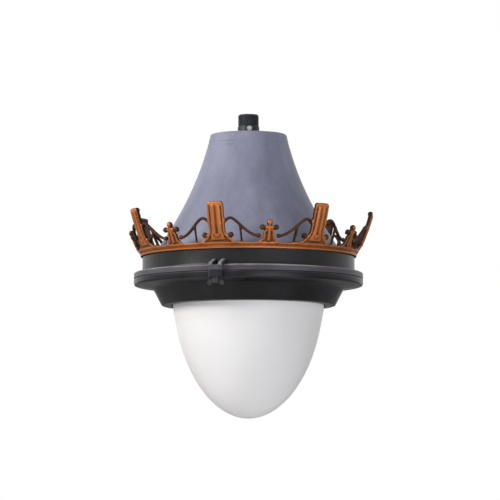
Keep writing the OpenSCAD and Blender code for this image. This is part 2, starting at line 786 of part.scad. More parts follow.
// Hinge pin with a head at one end and a groove for its clip at the other
module hinge_pin() {
    color("silver") translate([0, hinge_y, hinge_z]) rotate([0, 90, 0]) difference() {
        union() {
            translate([0, 0, -pin_end_x]) cylinder(r = hinge_pin_r, h = 2 * pin_end_x + 4);
            translate([0, 0, -pin_end_x - 3]) cylinder(r = hinge_pin_r * 1.6, h = 3);
        }
        translate([0, 0, pin_end_x + 0.2]) difference() {
            cylinder(r = hinge_pin_r + 1, h = pin_clip_t + 0.4);
            translate([0, 0, -1]) cylinder(r = hinge_pin_r - 1, h = pin_clip_t + 3);
        }
    }
}

module hinge_pin_clip() {
    color("silver") translate([pin_end_x + 0.4, hinge_y, hinge_z]) rotate([0, 90, 0]) difference() {
        cylinder(r = hinge_pin_r + 3.5, h = pin_clip_t);
        translate([0, 0, -1]) cylinder(r = hinge_pin_r - 0.9, h = 4);
        translate([-2, 0, -1]) cube([4, hinge_pin_r + 6, 4]);
    }
}

module bowl_frame() {
    lip_r = bowl_r + bowl_gap;
    pocket_r = bowl_flange_r + 2.5;
    color("black") difference() {
        union() {
            rotate_extrude() polygon([
                [body_r - body_t - 4, frame_z], [flange_r - 1, frame_z], [flange_r, frame_z - 1.2],
                [flange_r, lug_under_z + 4], [flange_r - 1.5, lug_under_z + 1], [flange_r - 4, lug_under_z],
                [skirt_top_r + 3, lug_under_z - 5], [skirt_top_r, lug_under_z - 7],
                [skirt_bottom_r + 1, frame_bottom_z + 3.5], [skirt_bottom_r - 1, frame_bottom_z + 0.8],
                [skirt_bottom_r - 4, frame_bottom_z], [lip_r + 3, frame_bottom_z],
                [lip_r + 0.8, frame_bottom_z + 0.8], [lip_r, frame_bottom_z + 3], [lip_r, ledge_z],
                [pocket_r, ledge_z], [pocket_r, bowl_under_z], [skirt_top_r - 8, lug_under_z - 6],
                [body_r - body_t - 8, lug_under_z + 1], [body_r - body_t - 4, lug_under_z + 4]
            ]);
            ring_of(clip_count, clip_at, clip_turn) translate([0, 0, clip_z - clip_boss_h])
                cylinder(r = clip_boss_r, h = clip_boss_h);
            translate([0, hinge_y, hinge_z]) rotate([0, 90, 0])
                cylinder(r = knuckle_r, h = knuckle_w, center = true);
            translate([-knuckle_w / 2, hinge_arm_y, hinge_z - knuckle_r + 0.5])
                cube([knuckle_w, hinge_y - hinge_arm_y, knuckle_r - 0.5 - parting_gap / 2]);
            translate([0, 0, lug_under_z]) linear_extrude(frame_flange_t) lug_outline();
        }
        rotate([0, 90, 0]) translate([-hinge_z, hinge_y, 0])
            cylinder(r = hinge_pin_r + hinge_clear, h = 4 * pin_end_x, center = true);
        translate([0, 0, frame_z - gasket_depth]) difference() {
            cylinder(r = gasket_mid_r + gasket_w / 2 + 0.3, h = gasket_depth + 1);
            translate([0, 0, -1]) cylinder(r = gasket_mid_r - gasket_w / 2 - 0.3, h = gasket_depth + 3);
        }
        drilled(clip_count, clip_at, clip_z - clip_hole_h, 20, clip_turn);
        ring_of(clip_count, clip_heel_at + 0.8, clip_turn) translate([-clip_w / 2 - 0.6, 0, clip_z])
            cube([clip_w + 1.2, 12, frame_h]);
        translate([0, catch_y, lug_under_z - 1])
            cylinder(r = catch_screw_r + catch_clear, h = frame_flange_t + 2);
    }
}

gasket_mid_r = (body_r - body_t - 4 + flange_r) / 2;

module frame_gasket() {
    top_z = parting_z - 0.3;
    low_z = frame_z - gasket_depth;
    color("gray") difference() {
        translate([0, 0, low_z]) cylinder(r = gasket_mid_r + gasket_w / 2, h = top_z - low_z);
        translate([0, 0, low_z - 1]) cylinder(r = gasket_mid_r - gasket_w / 2, h = top_z - low_z + 2);
    }
}

module bowl_seal() {
    color("gray") difference() {
        translate([0, 0, ledge_z]) cylinder(r = bowl_flange_r, h = bowl_seal_t);
        translate([0, 0, ledge_z - 1]) cylinder(r = bowl_r + bowl_gap + 1, h = bowl_seal_t + 2);
    }
}

module bowl() {
    outer = [for (i = [0 : bowl_steps]) bowl_edge(90 * i / bowl_steps, 0)];
    inner = [for (i = [bowl_steps : -1 : 0]) bowl_edge(90 * i / bowl_steps, bowl_t)];
    color("whitesmoke") rotate_extrude() polygon(concat(
        [[bowl_flange_r, bowl_flange_z], [bowl_flange_r, bowl_under_z]], outer, inner,
        [[bowl_r - bowl_t, bowl_flange_z]]
    ));
}

module bowl_clips() {
    bend = clip_at - clip_boss_r - 0.3;
    toe = bowl_flange_r - 8;
    color("silver") difference() {
        ring_of(clip_count, 0, clip_turn) translate([-clip_w / 2, 0, 0])
            rotate([90, 0, 90]) linear_extrude(clip_w) polygon([
                [-clip_heel_at, clip_z], [-clip_heel_at, clip_z + clip_t], [-bend + clip_t, clip_z + clip_t],
                [-bend + clip_t, bowl_flange_z + clip_t], [-toe, bowl_flange_z + clip_t],
                [-toe, bowl_flange_z], [-bend, bowl_flange_z], [-bend, clip_z]
            ]);
        drilled(clip_count, clip_at, clip_z - 1, clip_t + 2, clip_turn);
    }
}

module clip_screws() {
    color("silver") ring_of(clip_count, clip_at, clip_turn) translate([0, 0, clip_z + clip_t])
        mirror([0, 0, 1]) screw(clip_t + clip_hole_h - 1);
}

module catch_washer() {
    color("silver") translate([0, catch_y, lug_under_z - washer_t]) difference() {
        cylinder(r = catch_screw_r + 5, h = washer_t);
        translate([0, 0, -1]) cylinder(r = catch_screw_r + 0.3, h = washer_t + 2);
    }
}

// Wing screw below the lugs; its shank passes both and enters the body ring's lug
module catch_screw() {
    head_z = lug_under_z - washer_t;
    hub_r = catch_screw_r + 3;
    color("silver") translate([0, catch_y, 0]) {
        translate([0, 0, head_z - 9]) cylinder(r = hub_r, h = 9);
        translate([0, 0, head_z - 1]) cylinder(r = catch_screw_r, h = parting_z + catch_grip - head_z + 1);
        translate([0, 1.75, head_z]) rotate([90, 0, 0]) linear_extrude(3.5) polygon([
            [-hub_r, -2], [hub_r, -2],
            [wing_span / 2 - 2, -4], [wing_span / 2, -7], [wing_span / 2, -wing_h + 3],
            [wing_span / 2 - 3, -wing_h], [wing_span / 2 - 7, -wing_h + 1], [hub_r, -8], [-hub_r, -8],
            [-wing_span / 2 + 7, -wing_h + 1], [-wing_span / 2 + 3, -wing_h], [-wing_span / 2, -wing_h + 3],
            [-wing_span / 2, -7], [-wing_span / 2 + 2, -4]
        ]);
    }
}

// The origin is the spigot's shoulder, where a socket seats on its collar
module hung() {
    translate([0, 0, -collar_h]) children();
}

hung() spigot();
hung() spigot_locknut();
hung() spigot_lock_screw();
hung() cable_gland();
hung() canopy();
hung() canopy_seal();
hung() canopy_screws();
hung() canopy_nuts();
hung() body_ring();
hung() coronet();
hung() coronet_screws();
hung() gear_tray();
hung() tray_screws();
hung() ballast();
hung() ballast_screws();
hung() capacitor();
hung() capacitor_nut();
hung() ignitor();
hung() terminal_block();
hung() gear_screws();
hung() reflector();
hung() reflector_screws();
hung() lampholder_bracket();
hung() bracket_screws();
hung() lampholder();
hung() lamp();
hung() hinge_pin();
hung() hinge_pin_clip();
hung() bowl_frame();
hung() frame_gasket();
hung() bowl_seal();
hung() bowl();
hung() bowl_clips();
hung() clip_screws();
hung() catch_washer();
hung() catch_screw();
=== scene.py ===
import math

import bpy
import numpy as np
from mathutils import Matrix, Vector


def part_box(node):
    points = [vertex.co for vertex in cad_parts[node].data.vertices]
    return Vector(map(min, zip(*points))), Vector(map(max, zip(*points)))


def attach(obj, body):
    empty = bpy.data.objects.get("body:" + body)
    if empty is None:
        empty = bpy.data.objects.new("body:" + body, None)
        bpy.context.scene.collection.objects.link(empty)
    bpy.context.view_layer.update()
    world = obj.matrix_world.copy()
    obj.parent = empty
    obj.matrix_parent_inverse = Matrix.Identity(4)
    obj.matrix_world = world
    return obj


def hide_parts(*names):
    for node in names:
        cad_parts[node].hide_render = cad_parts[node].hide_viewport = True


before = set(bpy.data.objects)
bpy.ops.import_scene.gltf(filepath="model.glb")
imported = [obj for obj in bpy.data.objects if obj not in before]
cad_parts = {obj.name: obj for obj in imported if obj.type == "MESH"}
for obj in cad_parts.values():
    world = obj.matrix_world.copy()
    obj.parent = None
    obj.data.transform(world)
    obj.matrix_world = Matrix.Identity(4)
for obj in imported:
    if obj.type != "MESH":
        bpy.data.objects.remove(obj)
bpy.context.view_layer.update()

# Camera: a long lens eight metres away, a little below the lantern and to the right of its
# front, aimed so that the axis stands just left of the middle of the picture.
VIEW_AZIMUTH = math.radians(15.5)
VIEW_ELEVATION = math.radians(-5.0)
VIEW_DISTANCE = 8.0
PICTURE_WIDTH = 1.0
AIM_HEIGHT = -0.248
AIM_RIGHT = 0.003
SENSOR_WIDTH = 36.0

bpy.ops.object.camera_add()
camera = bpy.context.object
camera.name = "camera"
to_camera = Vector((
    math.sin(VIEW_AZIMUTH) * math.cos(VIEW_ELEVATION),
    -math.cos(VIEW_AZIMUTH) * math.cos(VIEW_ELEVATION),
    math.sin(VIEW_ELEVATION),
))
to_right = Vector((math.cos(VIEW_AZIMUTH), math.sin(VIEW_AZIMUTH), 0))
aim = Vector((0, 0, AIM_HEIGHT)) + to_right * AIM_RIGHT
camera.location = aim + to_camera * VIEW_DISTANCE
camera.rotation_mode = "QUATERNION"
camera.rotation_quaternion = (-to_camera).to_track_quat("-Z", "Y")
camera.data.sensor_width = SENSOR_WIDTH
camera.data.lens = SENSOR_WIDTH * VIEW_DISTANCE / PICTURE_WIDTH
camera.data.clip_end = 100
bpy.context.scene.camera = camera
bpy.context.scene.view_settings.view_transform = "Standard"

# Studio: a pale floor well below the hanging lantern, which is clear when seen from beneath, a
# white room that only the camera and the reflections see, a large soft key from the upper left
# and a wide low fill in front.
FLOOR_Z = -1.7
FLOOR_WIDTH = 40
FLOOR_LIFT = 0.45
KEY_PLACE = Vector((-2.6, -2.4, 1.5))
KEY_SIZE = 2.2
KEY_POWER = 130
KEY_COLOUR = (1.0, 0.985, 0.97)
FILL_PLACE = Vector((1.9, -2.3, -1.6))
FILL_SIZE = 3.2
FILL_POWER = 80
FILL_COLOUR = (0.93, 0.96, 1.0)
WORLD_LEVEL = 0.24
OBJECT_MIDDLE = Vector((0, 0, -0.28))

bpy.ops.object.select_all(action="DESELECT")
bpy.ops.mesh.primitive_plane_add(size=FLOOR_WIDTH, location=(0, 0, 0))
floor = bpy.context.object
floor.name = "floor"
bpy.ops.object.mode_set(mode="EDIT")
bpy.ops.transform.translate(value=(0, 0, FLOOR_Z))
bpy.ops.object.mode_set(mode="OBJECT")
floor_paint = bpy.data.materials.new("pale_floor")
floor_paint.use_nodes = True
floor_nodes, floor_links = floor_paint.node_tree.nodes, floor_paint.node_tree.links
floor_shader = floor_nodes["Principled BSDF"]
floor_shader.inputs["Base Color"].default_value = (0.85, 0.85, 0.85, 1)
floor_shader.inputs["Roughness"].default_value = 0.9
floor_shader.inputs["Specular IOR Level"].default_value = 0.1
floor_shader.inputs["Emission Color"].default_value = (1, 1, 1, 1)
floor_ray = floor_nodes.new("ShaderNodeLightPath")
floor_lift = floor_nodes.new("ShaderNodeMath")
floor_lift.operation = "MULTIPLY"
floor_lift.inputs[1].default_value = FLOOR_LIFT
floor_links.new(floor_ray.outputs["Is Camera Ray"], floor_lift.inputs[0])
floor_links.new(floor_lift.outputs[0], floor_shader.inputs["Emission Strength"])
floor_side = floor_nodes.new("ShaderNodeNewGeometry")
see_through = floor_nodes.new("ShaderNodeBsdfTransparent")
floor_mix = floor_nodes.new("ShaderNodeMixShader")
floor_links.new(floor_side.outputs["Backfacing"], floor_mix.inputs[0])
floor_links.new(floor_shader.outputs[0], floor_mix.inputs[1])
floor_links.new(see_through.outputs[0], floor_mix.inputs[2])
floor_links.new(floor_mix.outputs[0], floor_nodes["Material Output"].inputs["Surface"])
floor.data.materials.append(floor_paint)


def soft_light(name, place, size, power, colour):
    """A round soft light that faces the middle of the lantern."""
    bpy.ops.object.light_add(type="AREA", location=place)
    light = bpy.context.object
    light.name = name
    light.data.shape = "DISK"
    light.data.size = size
    light.data.energy = power
    light.data.color = colour
    light.rotation_mode = "QUATERNION"
    light.rotation_quaternion = (OBJECT_MIDDLE - place).to_track_quat("-Z", "Y")


soft_light("key_light", KEY_PLACE, KEY_SIZE, KEY_POWER, KEY_COLOUR)
soft_light("fill_light", FILL_PLACE, FILL_SIZE, FILL_POWER, FILL_COLOUR)

room = bpy.data.worlds.new("white_room")
bpy.context.scene.world = room
room.use_nodes = True
room_nodes, room_links = room.node_tree.nodes, room.node_tree.links
background = room_nodes["Background"]
ray = room_nodes.new("ShaderNodeLightPath")
seen = room_nodes.new("ShaderNodeMath")
seen.operation = "MAXIMUM"
seen_through = room_nodes.new("ShaderNodeMath")
seen_through.operation = "MAXIMUM"
level = room_nodes.new("ShaderNodeMapRange")
level.inputs["To Min"].default_value = WORLD_LEVEL
level.inputs["To Max"].default_value = 1.0
room_links.new(ray.outputs["Is Camera Ray"], seen.inputs[0])
room_links.new(ray.outputs["Is Glossy Ray"], seen.inputs[1])
room_links.new(seen.outputs[0], seen_through.inputs[0])
room_links.new(ray.outputs["Is Transmission Ray"], seen_through.inputs[1])
room_links.new(seen_through.outputs[0], level.inputs["Value"])
room_links.new(level.outputs[0], background.inputs["Strength"])
background.inputs["Color"].default_value = (1, 1, 1, 1)

# Canopy: one bell spun from aluminium sheet, painted blue-grey and chalked by the weather.
# It tapers from the top plate down to a lip that is turned in over its seal, and two faint
# tool rings are left below the top corner.
MM = 0.001
CANOPY_LOW, CANOPY_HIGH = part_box("canopy")
CANOPY_TOP_R = 76 * MM
CANOPY_BASE_R = CANOPY_HIGH.x
CANOPY_H = CANOPY_HIGH.z - CANOPY_LOW.z
CANOPY_STRAIGHT = 0.46
CANOPY_SHEET = 2.5 * MM
CANOPY_ROUND = 5 * MM
CANOPY_LIP = 20 * MM
CANOPY_HOLE_R = 21.95 * MM
CANOPY_STEPS = 56
CANOPY_INNER_STEPS = 20
TOOL_RINGS = (19 * MM, 26.5 * MM)
TOOL_RING_DEPTH = 0.7 * MM
TOOL_RING_W = 1.3 * MM
TOOL_RING_POINTS = (-1.6, -0.8, 0, 0.8, 1.6)
TURN_STEPS = 160


def srgb(red, green, blue):
    """A colour given as 0 to 255 in each channel, in the linear values that shaders use."""
    channels = []
    for value in (red, green, blue):
        share = value / 255
        channels.append(share / 12.92 if share <= 0.04045 else ((share + 0.055) / 1.055) ** 2.4)
    return (*channels, 1)


def edge_chain(name, points):
    """A mesh that is only a chain of edges through the points, left in edit mode."""
    bpy.ops.object.select_all(action="DESELECT")
    bpy.ops.mesh.primitive_plane_add(size=MM)
    piece = bpy.context.object
    piece.name = piece.data.name = name
    bpy.ops.object.mode_set(mode="EDIT")
    bpy.ops.mesh.merge(type="CENTER")
    bpy.ops.transform.translate(value=points[0])
    for before, after in zip(points, points[1:]):
        step = Vector(after) - Vector(before)
        bpy.ops.mesh.extrude_region_move(TRANSFORM_OT_translate={"value": step})
    return piece


def turned(name, profile, steps=TURN_STEPS, smooth=32):
    """Turns a closed outline of (radius, height) points round the Z axis into a solid."""
    outline = [(radius, 0, height) for radius, height in [*profile, profile[0]]]
    piece = edge_chain(name, outline)
    bpy.ops.mesh.select_all(action="SELECT")
    bpy.ops.mesh.remove_doubles(threshold=MM / 200)
    bpy.ops.mesh.spin(steps=steps, angle=2 * math.pi, center=(0, 0, 0), axis=(0, 0, 1))
    bpy.ops.mesh.select_all(action="SELECT")
    bpy.ops.mesh.remove_doubles(threshold=MM / 200)
    bpy.ops.mesh.normals_make_consistent(inside=False)
    bpy.ops.object.mode_set(mode="OBJECT")
    bpy.ops.object.shade_smooth_by_angle(angle=math.radians(smooth))
    return piece


def shader_node(material, kind, sockets=None, **settings):
    """Adds a node; each socket is given a value or the output that is linked to it."""
    added = material.node_tree.nodes.new(kind)
    for setting, value in settings.items():
        setattr(added, setting, value)
    for socket, value in (sockets or {}).items():
        if isinstance(value, bpy.types.NodeSocket):
            material.node_tree.links.new(value, added.inputs[socket])
        else:
            added.inputs[socket].default_value = value
    return added


def tones(material, factor, *stops):
    """A colour ramp from (place, colour) stops."""
    ramp = shader_node(material, "ShaderNodeValToRGB", {"Fac": factor})
    while len(ramp.color_ramp.elements) < len(stops):
        ramp.color_ramp.elements.new(0.5)
    for element, (place, colour) in zip(ramp.color_ramp.elements, stops):
        element.position = place
        element.color = colour
    return ramp.outputs["Color"]


def blend_colour(material, share, first, second):
    """A share of the second colour over the first, through the mix node's colour sockets."""
    mixer = shader_node(material, "ShaderNodeMix", {"Factor": share, 6: first, 7: second},
                        data_type="RGBA")
    return mixer.outputs[2]


def finish(name, colours, roughness, patch=14, stretch=(1, 1, 1), grain=260, grain_depth=0.05,
           metallic=0.0, dust_and_highlight=None, dust_and_highlight_share=0.6, dust_and_highlight_from=0.35, coat=0.0, shine=0.5):
    """A finish with broad patches of three tones, a fine grain that also varies the gloss,
    and, where it is given, a pale colour on the faces that look up: settled dust, and on the
    body ring's paints also a painted highlight along the upper edges."""
    material = bpy.data.materials.new(name)
    material.use_nodes = True
    shader = material.node_tree.nodes["Principled BSDF"]
    links = material.node_tree.links
    place = shader_node(material, "ShaderNodeTexCoord")
    stretched = shader_node(material, "ShaderNodeMapping",
                            {"Vector": place.outputs["Object"], "Scale": stretch})
    patches = shader_node(material, "ShaderNodeTexNoise",
                          {"Vector": stretched.outputs[0], "Scale": patch,
                           "Detail": 6, "Roughness": 0.6})
    fine = shader_node(material, "ShaderNodeTexNoise",
                       {"Vector": place.outputs["Object"], "Scale": grain, "Detail": 3})
    low, middle, high = colours
    colour = tones(material, patches.outputs["Fac"], (0.3, low), (0.5, middle), (0.7, high))
    # Pale colour on up-facing faces: settled dust, and on the body ring's paints also a painted
    # highlight.
    if dust_and_highlight:
        up = shader_node(material, "ShaderNodeSeparateXYZ", {"Vector": place.outputs["Normal"]})
        lying = shader_node(material, "ShaderNodeMapRange",
                            {"Value": up.outputs["Z"], "From Min": dust_and_highlight_from,
                             "From Max": dust_and_highlight_from + 0.6, "To Max": dust_and_highlight_share})
        uneven = shader_node(material, "ShaderNodeMapRange",
                             {"Value": patches.outputs["Fac"], "From Min": 0.3, "From Max": 0.62})
        amount = shader_node(material, "ShaderNodeMath",
                             {0: lying.outputs[0], 1: uneven.outputs[0]}, operation="MULTIPLY")
        colour = blend_colour(material, amount.outputs[0], colour, dust_and_highlight)
    links.new(colour, shader.inputs["Base Color"])
    gloss = shader_node(material, "ShaderNodeMapRange",
                        {"Value": patches.outputs["Fac"], "From Min": 0.3, "From Max": 0.7,
                         "To Min": roughness[0], "To Max": roughness[1]})
    links.new(gloss.outputs[0], shader.inputs["Roughness"])
    relief = shader_node(material, "ShaderNodeBump",
                         {"Height": fine.outputs["Fac"], "Strength": grain_depth,
                          "Distance": 0.4 * MM})
    links.new(relief.outputs[0], shader.inputs["Normal"])
    shader.inputs["Metallic"].default_value = metallic
    shader.inputs["Coat Weight"].default_value = coat
    shader.inputs["Specular IOR Level"].default_value = shine
    return material


def fitted(piece, node, body, material):
    """Gives a finished piece its material and puts it in the place of its CAD node."""
    piece.data.materials.clear()
    piece.data.materials.append(material)
    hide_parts(node)
    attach(piece, body)


def canopy_edge(share, inset):
    """Radius and height of the bell at a share of its height below the top plate."""
    spread = CANOPY_STRAIGHT * share + (1 - CANOPY_STRAIGHT) * share * share
    return (
        CANOPY_TOP_R + (CANOPY_BASE_R - CANOPY_TOP_R) * spread - inset,
        CANOPY_HIGH.z - CANOPY_H * share,
    )


def canopy_outside(depth):
    """The outer face at a depth below the top plate, with the shallow tool rings cut in."""
    radius, height = canopy_edge(depth / CANOPY_H, 0)
    for ring in TOOL_RINGS:
        radius -= TOOL_RING_DEPTH * math.exp(-(((depth - ring) / TOOL_RING_W) ** 2))
    return radius, height


depths = sorted(
    [CANOPY_ROUND + (CANOPY_H - CANOPY_ROUND - 2 * MM) * step / CANOPY_STEPS
     for step in range(CANOPY_STEPS + 1)]
    + [ring + offset * TOOL_RING_W for ring in TOOL_RINGS for offset in TOOL_RING_POINTS]
)
corner_r = canopy_edge(CANOPY_ROUND / CANOPY_H, 0)[0] - CANOPY_ROUND
canopy_outline = [(CANOPY_HOLE_R, CANOPY_HIGH.z)]
for angle in range(90, -1, -15):
    canopy_outline.append((
        corner_r + CANOPY_ROUND * math.cos(math.radians(angle)),
        CANOPY_HIGH.z - CANOPY_ROUND + CANOPY_ROUND * math.sin(math.radians(angle)),
    ))
canopy_outline += [canopy_outside(depth) for depth in depths[1:]]
canopy_outline += [
    (CANOPY_BASE_R - 0.4 * MM, CANOPY_LOW.z + 0.7 * MM),
    (CANOPY_BASE_R - 1.4 * MM, CANOPY_LOW.z),
    (CANOPY_BASE_R - CANOPY_LIP, CANOPY_LOW.z),
    (CANOPY_BASE_R - CANOPY_LIP, CANOPY_LOW.z + CANOPY_SHEET),
    (CANOPY_BASE_R - CANOPY_SHEET - 1.5 * MM, CANOPY_LOW.z + CANOPY_SHEET),
]
canopy_outline += [canopy_edge(1 - step / CANOPY_INNER_STEPS, CANOPY_SHEET)
                   for step in range(1, CANOPY_INNER_STEPS)]
canopy_outline += [
    (CANOPY_TOP_R - 3 * MM, CANOPY_HIGH.z - CANOPY_SHEET),
    (CANOPY_HOLE_R, CANOPY_HIGH.z - CANOPY_SHEET),
]
canopy = turned("canopy_bell", canopy_outline)
canopy_paint = finish(
    "chalked_blue_grey_paint",
    (srgb(124, 126, 146), srgb(141, 142, 163), srgb(157, 157, 177)),
    roughness=(0.36, 0.5), patch=9, stretch=(1.6, 1.6, 0.5), grain=180, grain_depth=0.04,
    dust_and_highlight=srgb(176, 176, 186), dust_and_highlight_share=0.35, shine=0.12,
)
fitted(canopy, "canopy", "root", canopy_paint)

# Spigot: a black-painted cast nipple with a 1 1/4 inch pipe thread above a plain collar. Its
# flange bears up against the canopy's top plate from inside.
SPIGOT_LOW, SPIGOT_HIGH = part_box("spigot")
SPIGOT_TOP = SPIGOT_HIGH.z
SPIGOT_END = SPIGOT_LOW.z
SPIGOT_FLANGE_R = SPIGOT_HIGH.x
SPIGOT_BORE_R = 16 * MM
SPIGOT_THREAD_R = 20.95 * MM
SPIGOT_COLLAR_R = 21.7 * MM
SPIGOT_PITCH = 2.309 * MM
SPIGOT_THREAD_DEPTH = 1.3 * MM
FLANGE_TOP = CANOPY_HIGH.z - CANOPY_SHEET
FLANGE_UNDER = FLANGE_TOP - 6 * MM


def thread(name, radius, depth, pitch, low, high):
    """One helical ridge from height low to height high, closed at both ends."""
    foot = radius - depth - 0.3 * MM
    ridge = [
        (foot, 0, low), (radius, 0, low + 0.4 * pitch),
        (radius, 0, low + 0.52 * pitch), (foot, 0, low + 0.94 * pitch), (foot, 0, low),
    ]
    coil = edge_chain(name, ridge)
    bpy.ops.mesh.select_all(action="SELECT")
    bpy.ops.mesh.remove_doubles(threshold=MM / 200)
    bpy.ops.object.mode_set(mode="OBJECT")
    winding = coil.modifiers.new("winding", "SCREW")
    winding.screw_offset = pitch
    winding.iterations = int((high - low) / pitch) - 1
    winding.steps = winding.render_steps = 48
    winding.use_merge_vertices = False
    bpy.ops.object.modifier_apply(modifier="winding")
    bpy.ops.object.mode_set(mode="EDIT")
    bpy.ops.mesh.select_all(action="SELECT")
    bpy.ops.mesh.remove_doubles(threshold=MM / 200)
    bpy.ops.mesh.select_all(action="DESELECT")
    bpy.ops.mesh.select_mode(type="EDGE")
    bpy.ops.mesh.select_non_manifold()
    bpy.ops.mesh.fill()
    bpy.ops.mesh.select_all(action="SELECT")
    bpy.ops.mesh.normals_make_consistent(inside=False)
    bpy.ops.mesh.select_mode(type="VERT")
    bpy.ops.object.mode_set(mode="OBJECT")
    bpy.ops.object.shade_smooth_by_angle(angle=math.radians(25))
    return coil


def joined(name, *pieces):
    """One object made of several, under one name."""
    bpy.ops.object.select_all(action="DESELECT")
    for piece in pieces:
        piece.select_set(True)
    bpy.context.view_layer.objects.active = pieces[0]
    bpy.ops.object.join()
    pieces[0].name = pieces[0].data.name = name
    return pieces[0]


thread_root_r = SPIGOT_THREAD_R - SPIGOT_THREAD_DEPTH
spigot_body = turned("spigot_body", [
    (SPIGOT_BORE_R, SPIGOT_END), (SPIGOT_COLLAR_R - 1 * MM, SPIGOT_END),
    (SPIGOT_COLLAR_R, SPIGOT_END + 1 * MM), (SPIGOT_COLLAR_R, FLANGE_UNDER - 2 * MM),
    (SPIGOT_COLLAR_R + 2 * MM, FLANGE_UNDER), (SPIGOT_FLANGE_R - 0.8 * MM, FLANGE_UNDER),
    (SPIGOT_FLANGE_R, FLANGE_UNDER + 0.8 * MM), (SPIGOT_FLANGE_R, FLANGE_TOP),
    (SPIGOT_COLLAR_R, FLANGE_TOP), (SPIGOT_COLLAR_R, -1.2 * MM),
    (SPIGOT_COLLAR_R - 0.35 * MM, -0.35 * MM), (SPIGOT_COLLAR_R - 1.2 * MM, 0),
    (thread_root_r, 0), (thread_root_r, SPIGOT_TOP - 1.4 * MM),
    (thread_root_r - 1.2 * MM, SPIGOT_TOP), (SPIGOT_BORE_R + 0.8 * MM, SPIGOT_TOP),
    (SPIGOT_BORE_R, SPIGOT_TOP - 0.8 * MM),
], steps=96)
spigot_thread = thread("spigot_thread", SPIGOT_THREAD_R, SPIGOT_THREAD_DEPTH, SPIGOT_PITCH,
                       0.2 * MM, SPIGOT_TOP - 0.4 * MM)
spigot = joined("spigot_nipple", spigot_body, spigot_thread)
spigot_paint = finish(
    "worn_black_paint",
    (srgb(24, 25, 31), srgb(34, 36, 44), srgb(52, 54, 64)),
    roughness=(0.36, 0.55), patch=26, grain=420, grain_depth=0.15,
    dust_and_highlight=srgb(110, 112, 122), dust_and_highlight_share=0.5, shine=0.3,
)
fitted(spigot, "spigot", "root", spigot_paint)

# Locknut and lock screw: a thin hexagonal nut on the collar, and a small plated hexagon screw
# at the spigot's foot that bites on the bracket's thread.


def dressed(node, name, rounding=0.5 * MM, segments=2, smooth=34):
    """A merged copy of a CAD node's mesh with its flat faces cleaned and its edges rounded."""
    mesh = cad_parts[node].data.copy()
    mesh.materials.clear()
    piece = bpy.data.objects.new(name, mesh)
    mesh.name = name
    bpy.context.scene.collection.objects.link(piece)
    bpy.ops.object.select_all(action="DESELECT")
    piece.select_set(True)
    bpy.context.view_layer.objects.active = piece
    bpy.ops.object.mode_set(mode="EDIT")
    bpy.ops.mesh.select_all(action="SELECT")
    bpy.ops.mesh.remove_doubles(threshold=MM / 100)
    bpy.ops.mesh.dissolve_limited(angle_limit=math.radians(0.5))
    bpy.ops.object.mode_set(mode="OBJECT")
    if rounding:
        edges = piece.modifiers.new("rounded_edges", "BEVEL")
        edges.width = rounding
        edges.segments = segments
        edges.limit_method = "ANGLE"
        edges.angle_limit = math.radians(smooth)
        edges.use_clamp_overlap = True
        bpy.ops.object.modifier_apply(modifier="rounded_edges")
    bpy.ops.object.shade_smooth_by_angle(angle=math.radians(smooth))
    even = piece.modifiers.new("even_shading", "WEIGHTED_NORMAL")
    even.keep_sharp = True
    bpy.ops.object.modifier_apply(modifier="even_shading")
    return piece


locknut = dressed("spigot_locknut", "spigot_locknut_nut", 0.7 * MM)
fitted(locknut, "spigot_locknut", "root", spigot_paint)
zinc = finish(
    "dull_zinc",
    (srgb(150, 150, 152), srgb(176, 176, 178), srgb(198, 198, 198)),
    roughness=(0.28, 0.45), patch=60, grain=600, grain_depth=0.05, metallic=1.0,
)
lock_screw = dressed("spigot_lock_screw", "spigot_lock_screw_bolt", 0.6 * MM)
fitted(lock_screw, "spigot_lock_screw", "root", zinc)

# Cable gland: a nylon cap nut screwed over the spigot's lower end, where the supply cable
# comes in.
gland_nylon = finish(
    "grey_nylon", (srgb(58, 60, 62), srgb(66, 68, 70), srgb(76, 78, 80)),
    roughness=(0.42, 0.52), patch=30, grain=500, grain_depth=0.04,
)
gland = dressed("cable_gland", "cable_gland_nut", 0.8 * MM)
fitted(gland, "cable_gland", "root", gland_nylon)

# Body ring: an iron casting painted blue-black, with the shelf that carries canopy and coronet,
# an upright wall and the upper flange, whose lug and two ribs take the catch and whose ears take
# the hinge pin. The flange and the ribs are a lighter grey, partly from the weather and partly as
# painted light where they face the lamps, with a painted highlight along the flange's top edge.
FLANGE_IN_R = 213.5 * MM
HINGE_HALF_W = 30 * MM
# Its pale colour on the faces that look up is settled dust and partly a painted highlight on the
# upper edges.
black_paint = finish(
    "blue_black_paint",
    (srgb(20, 19, 20), srgb(27, 26, 28), srgb(38, 38, 44)),
    roughness=(0.26, 0.4), patch=11, grain=300, grain_depth=0.12,
    dust_and_highlight=srgb(150, 150, 162), dust_and_highlight_share=0.8, shine=0.22,
)
# Lighter paint for the flange and ribs: partly weathering, partly painted light; its pale colour
# reaching faces that barely look up is a painted highlight along the flange's top edge.
weathered_and_lit_paint = finish(
    "weathered_and_lit_black_paint",
    (srgb(50, 48, 52), srgb(66, 62, 68), srgb(88, 85, 94)),
    roughness=(0.34, 0.5), patch=9, stretch=(1, 1, 3), grain=260, grain_depth=0.12,
    dust_and_highlight=srgb(186, 184, 196), dust_and_highlight_share=1.0, dust_and_highlight_from=0.05, shine=0.3,
)
body_ring = dressed("body_ring", "body_ring_casting", 1.0 * MM, segments=3)
fitted(body_ring, "body_ring", "root", black_paint)
body_ring.data.materials.append(weathered_and_lit_paint)
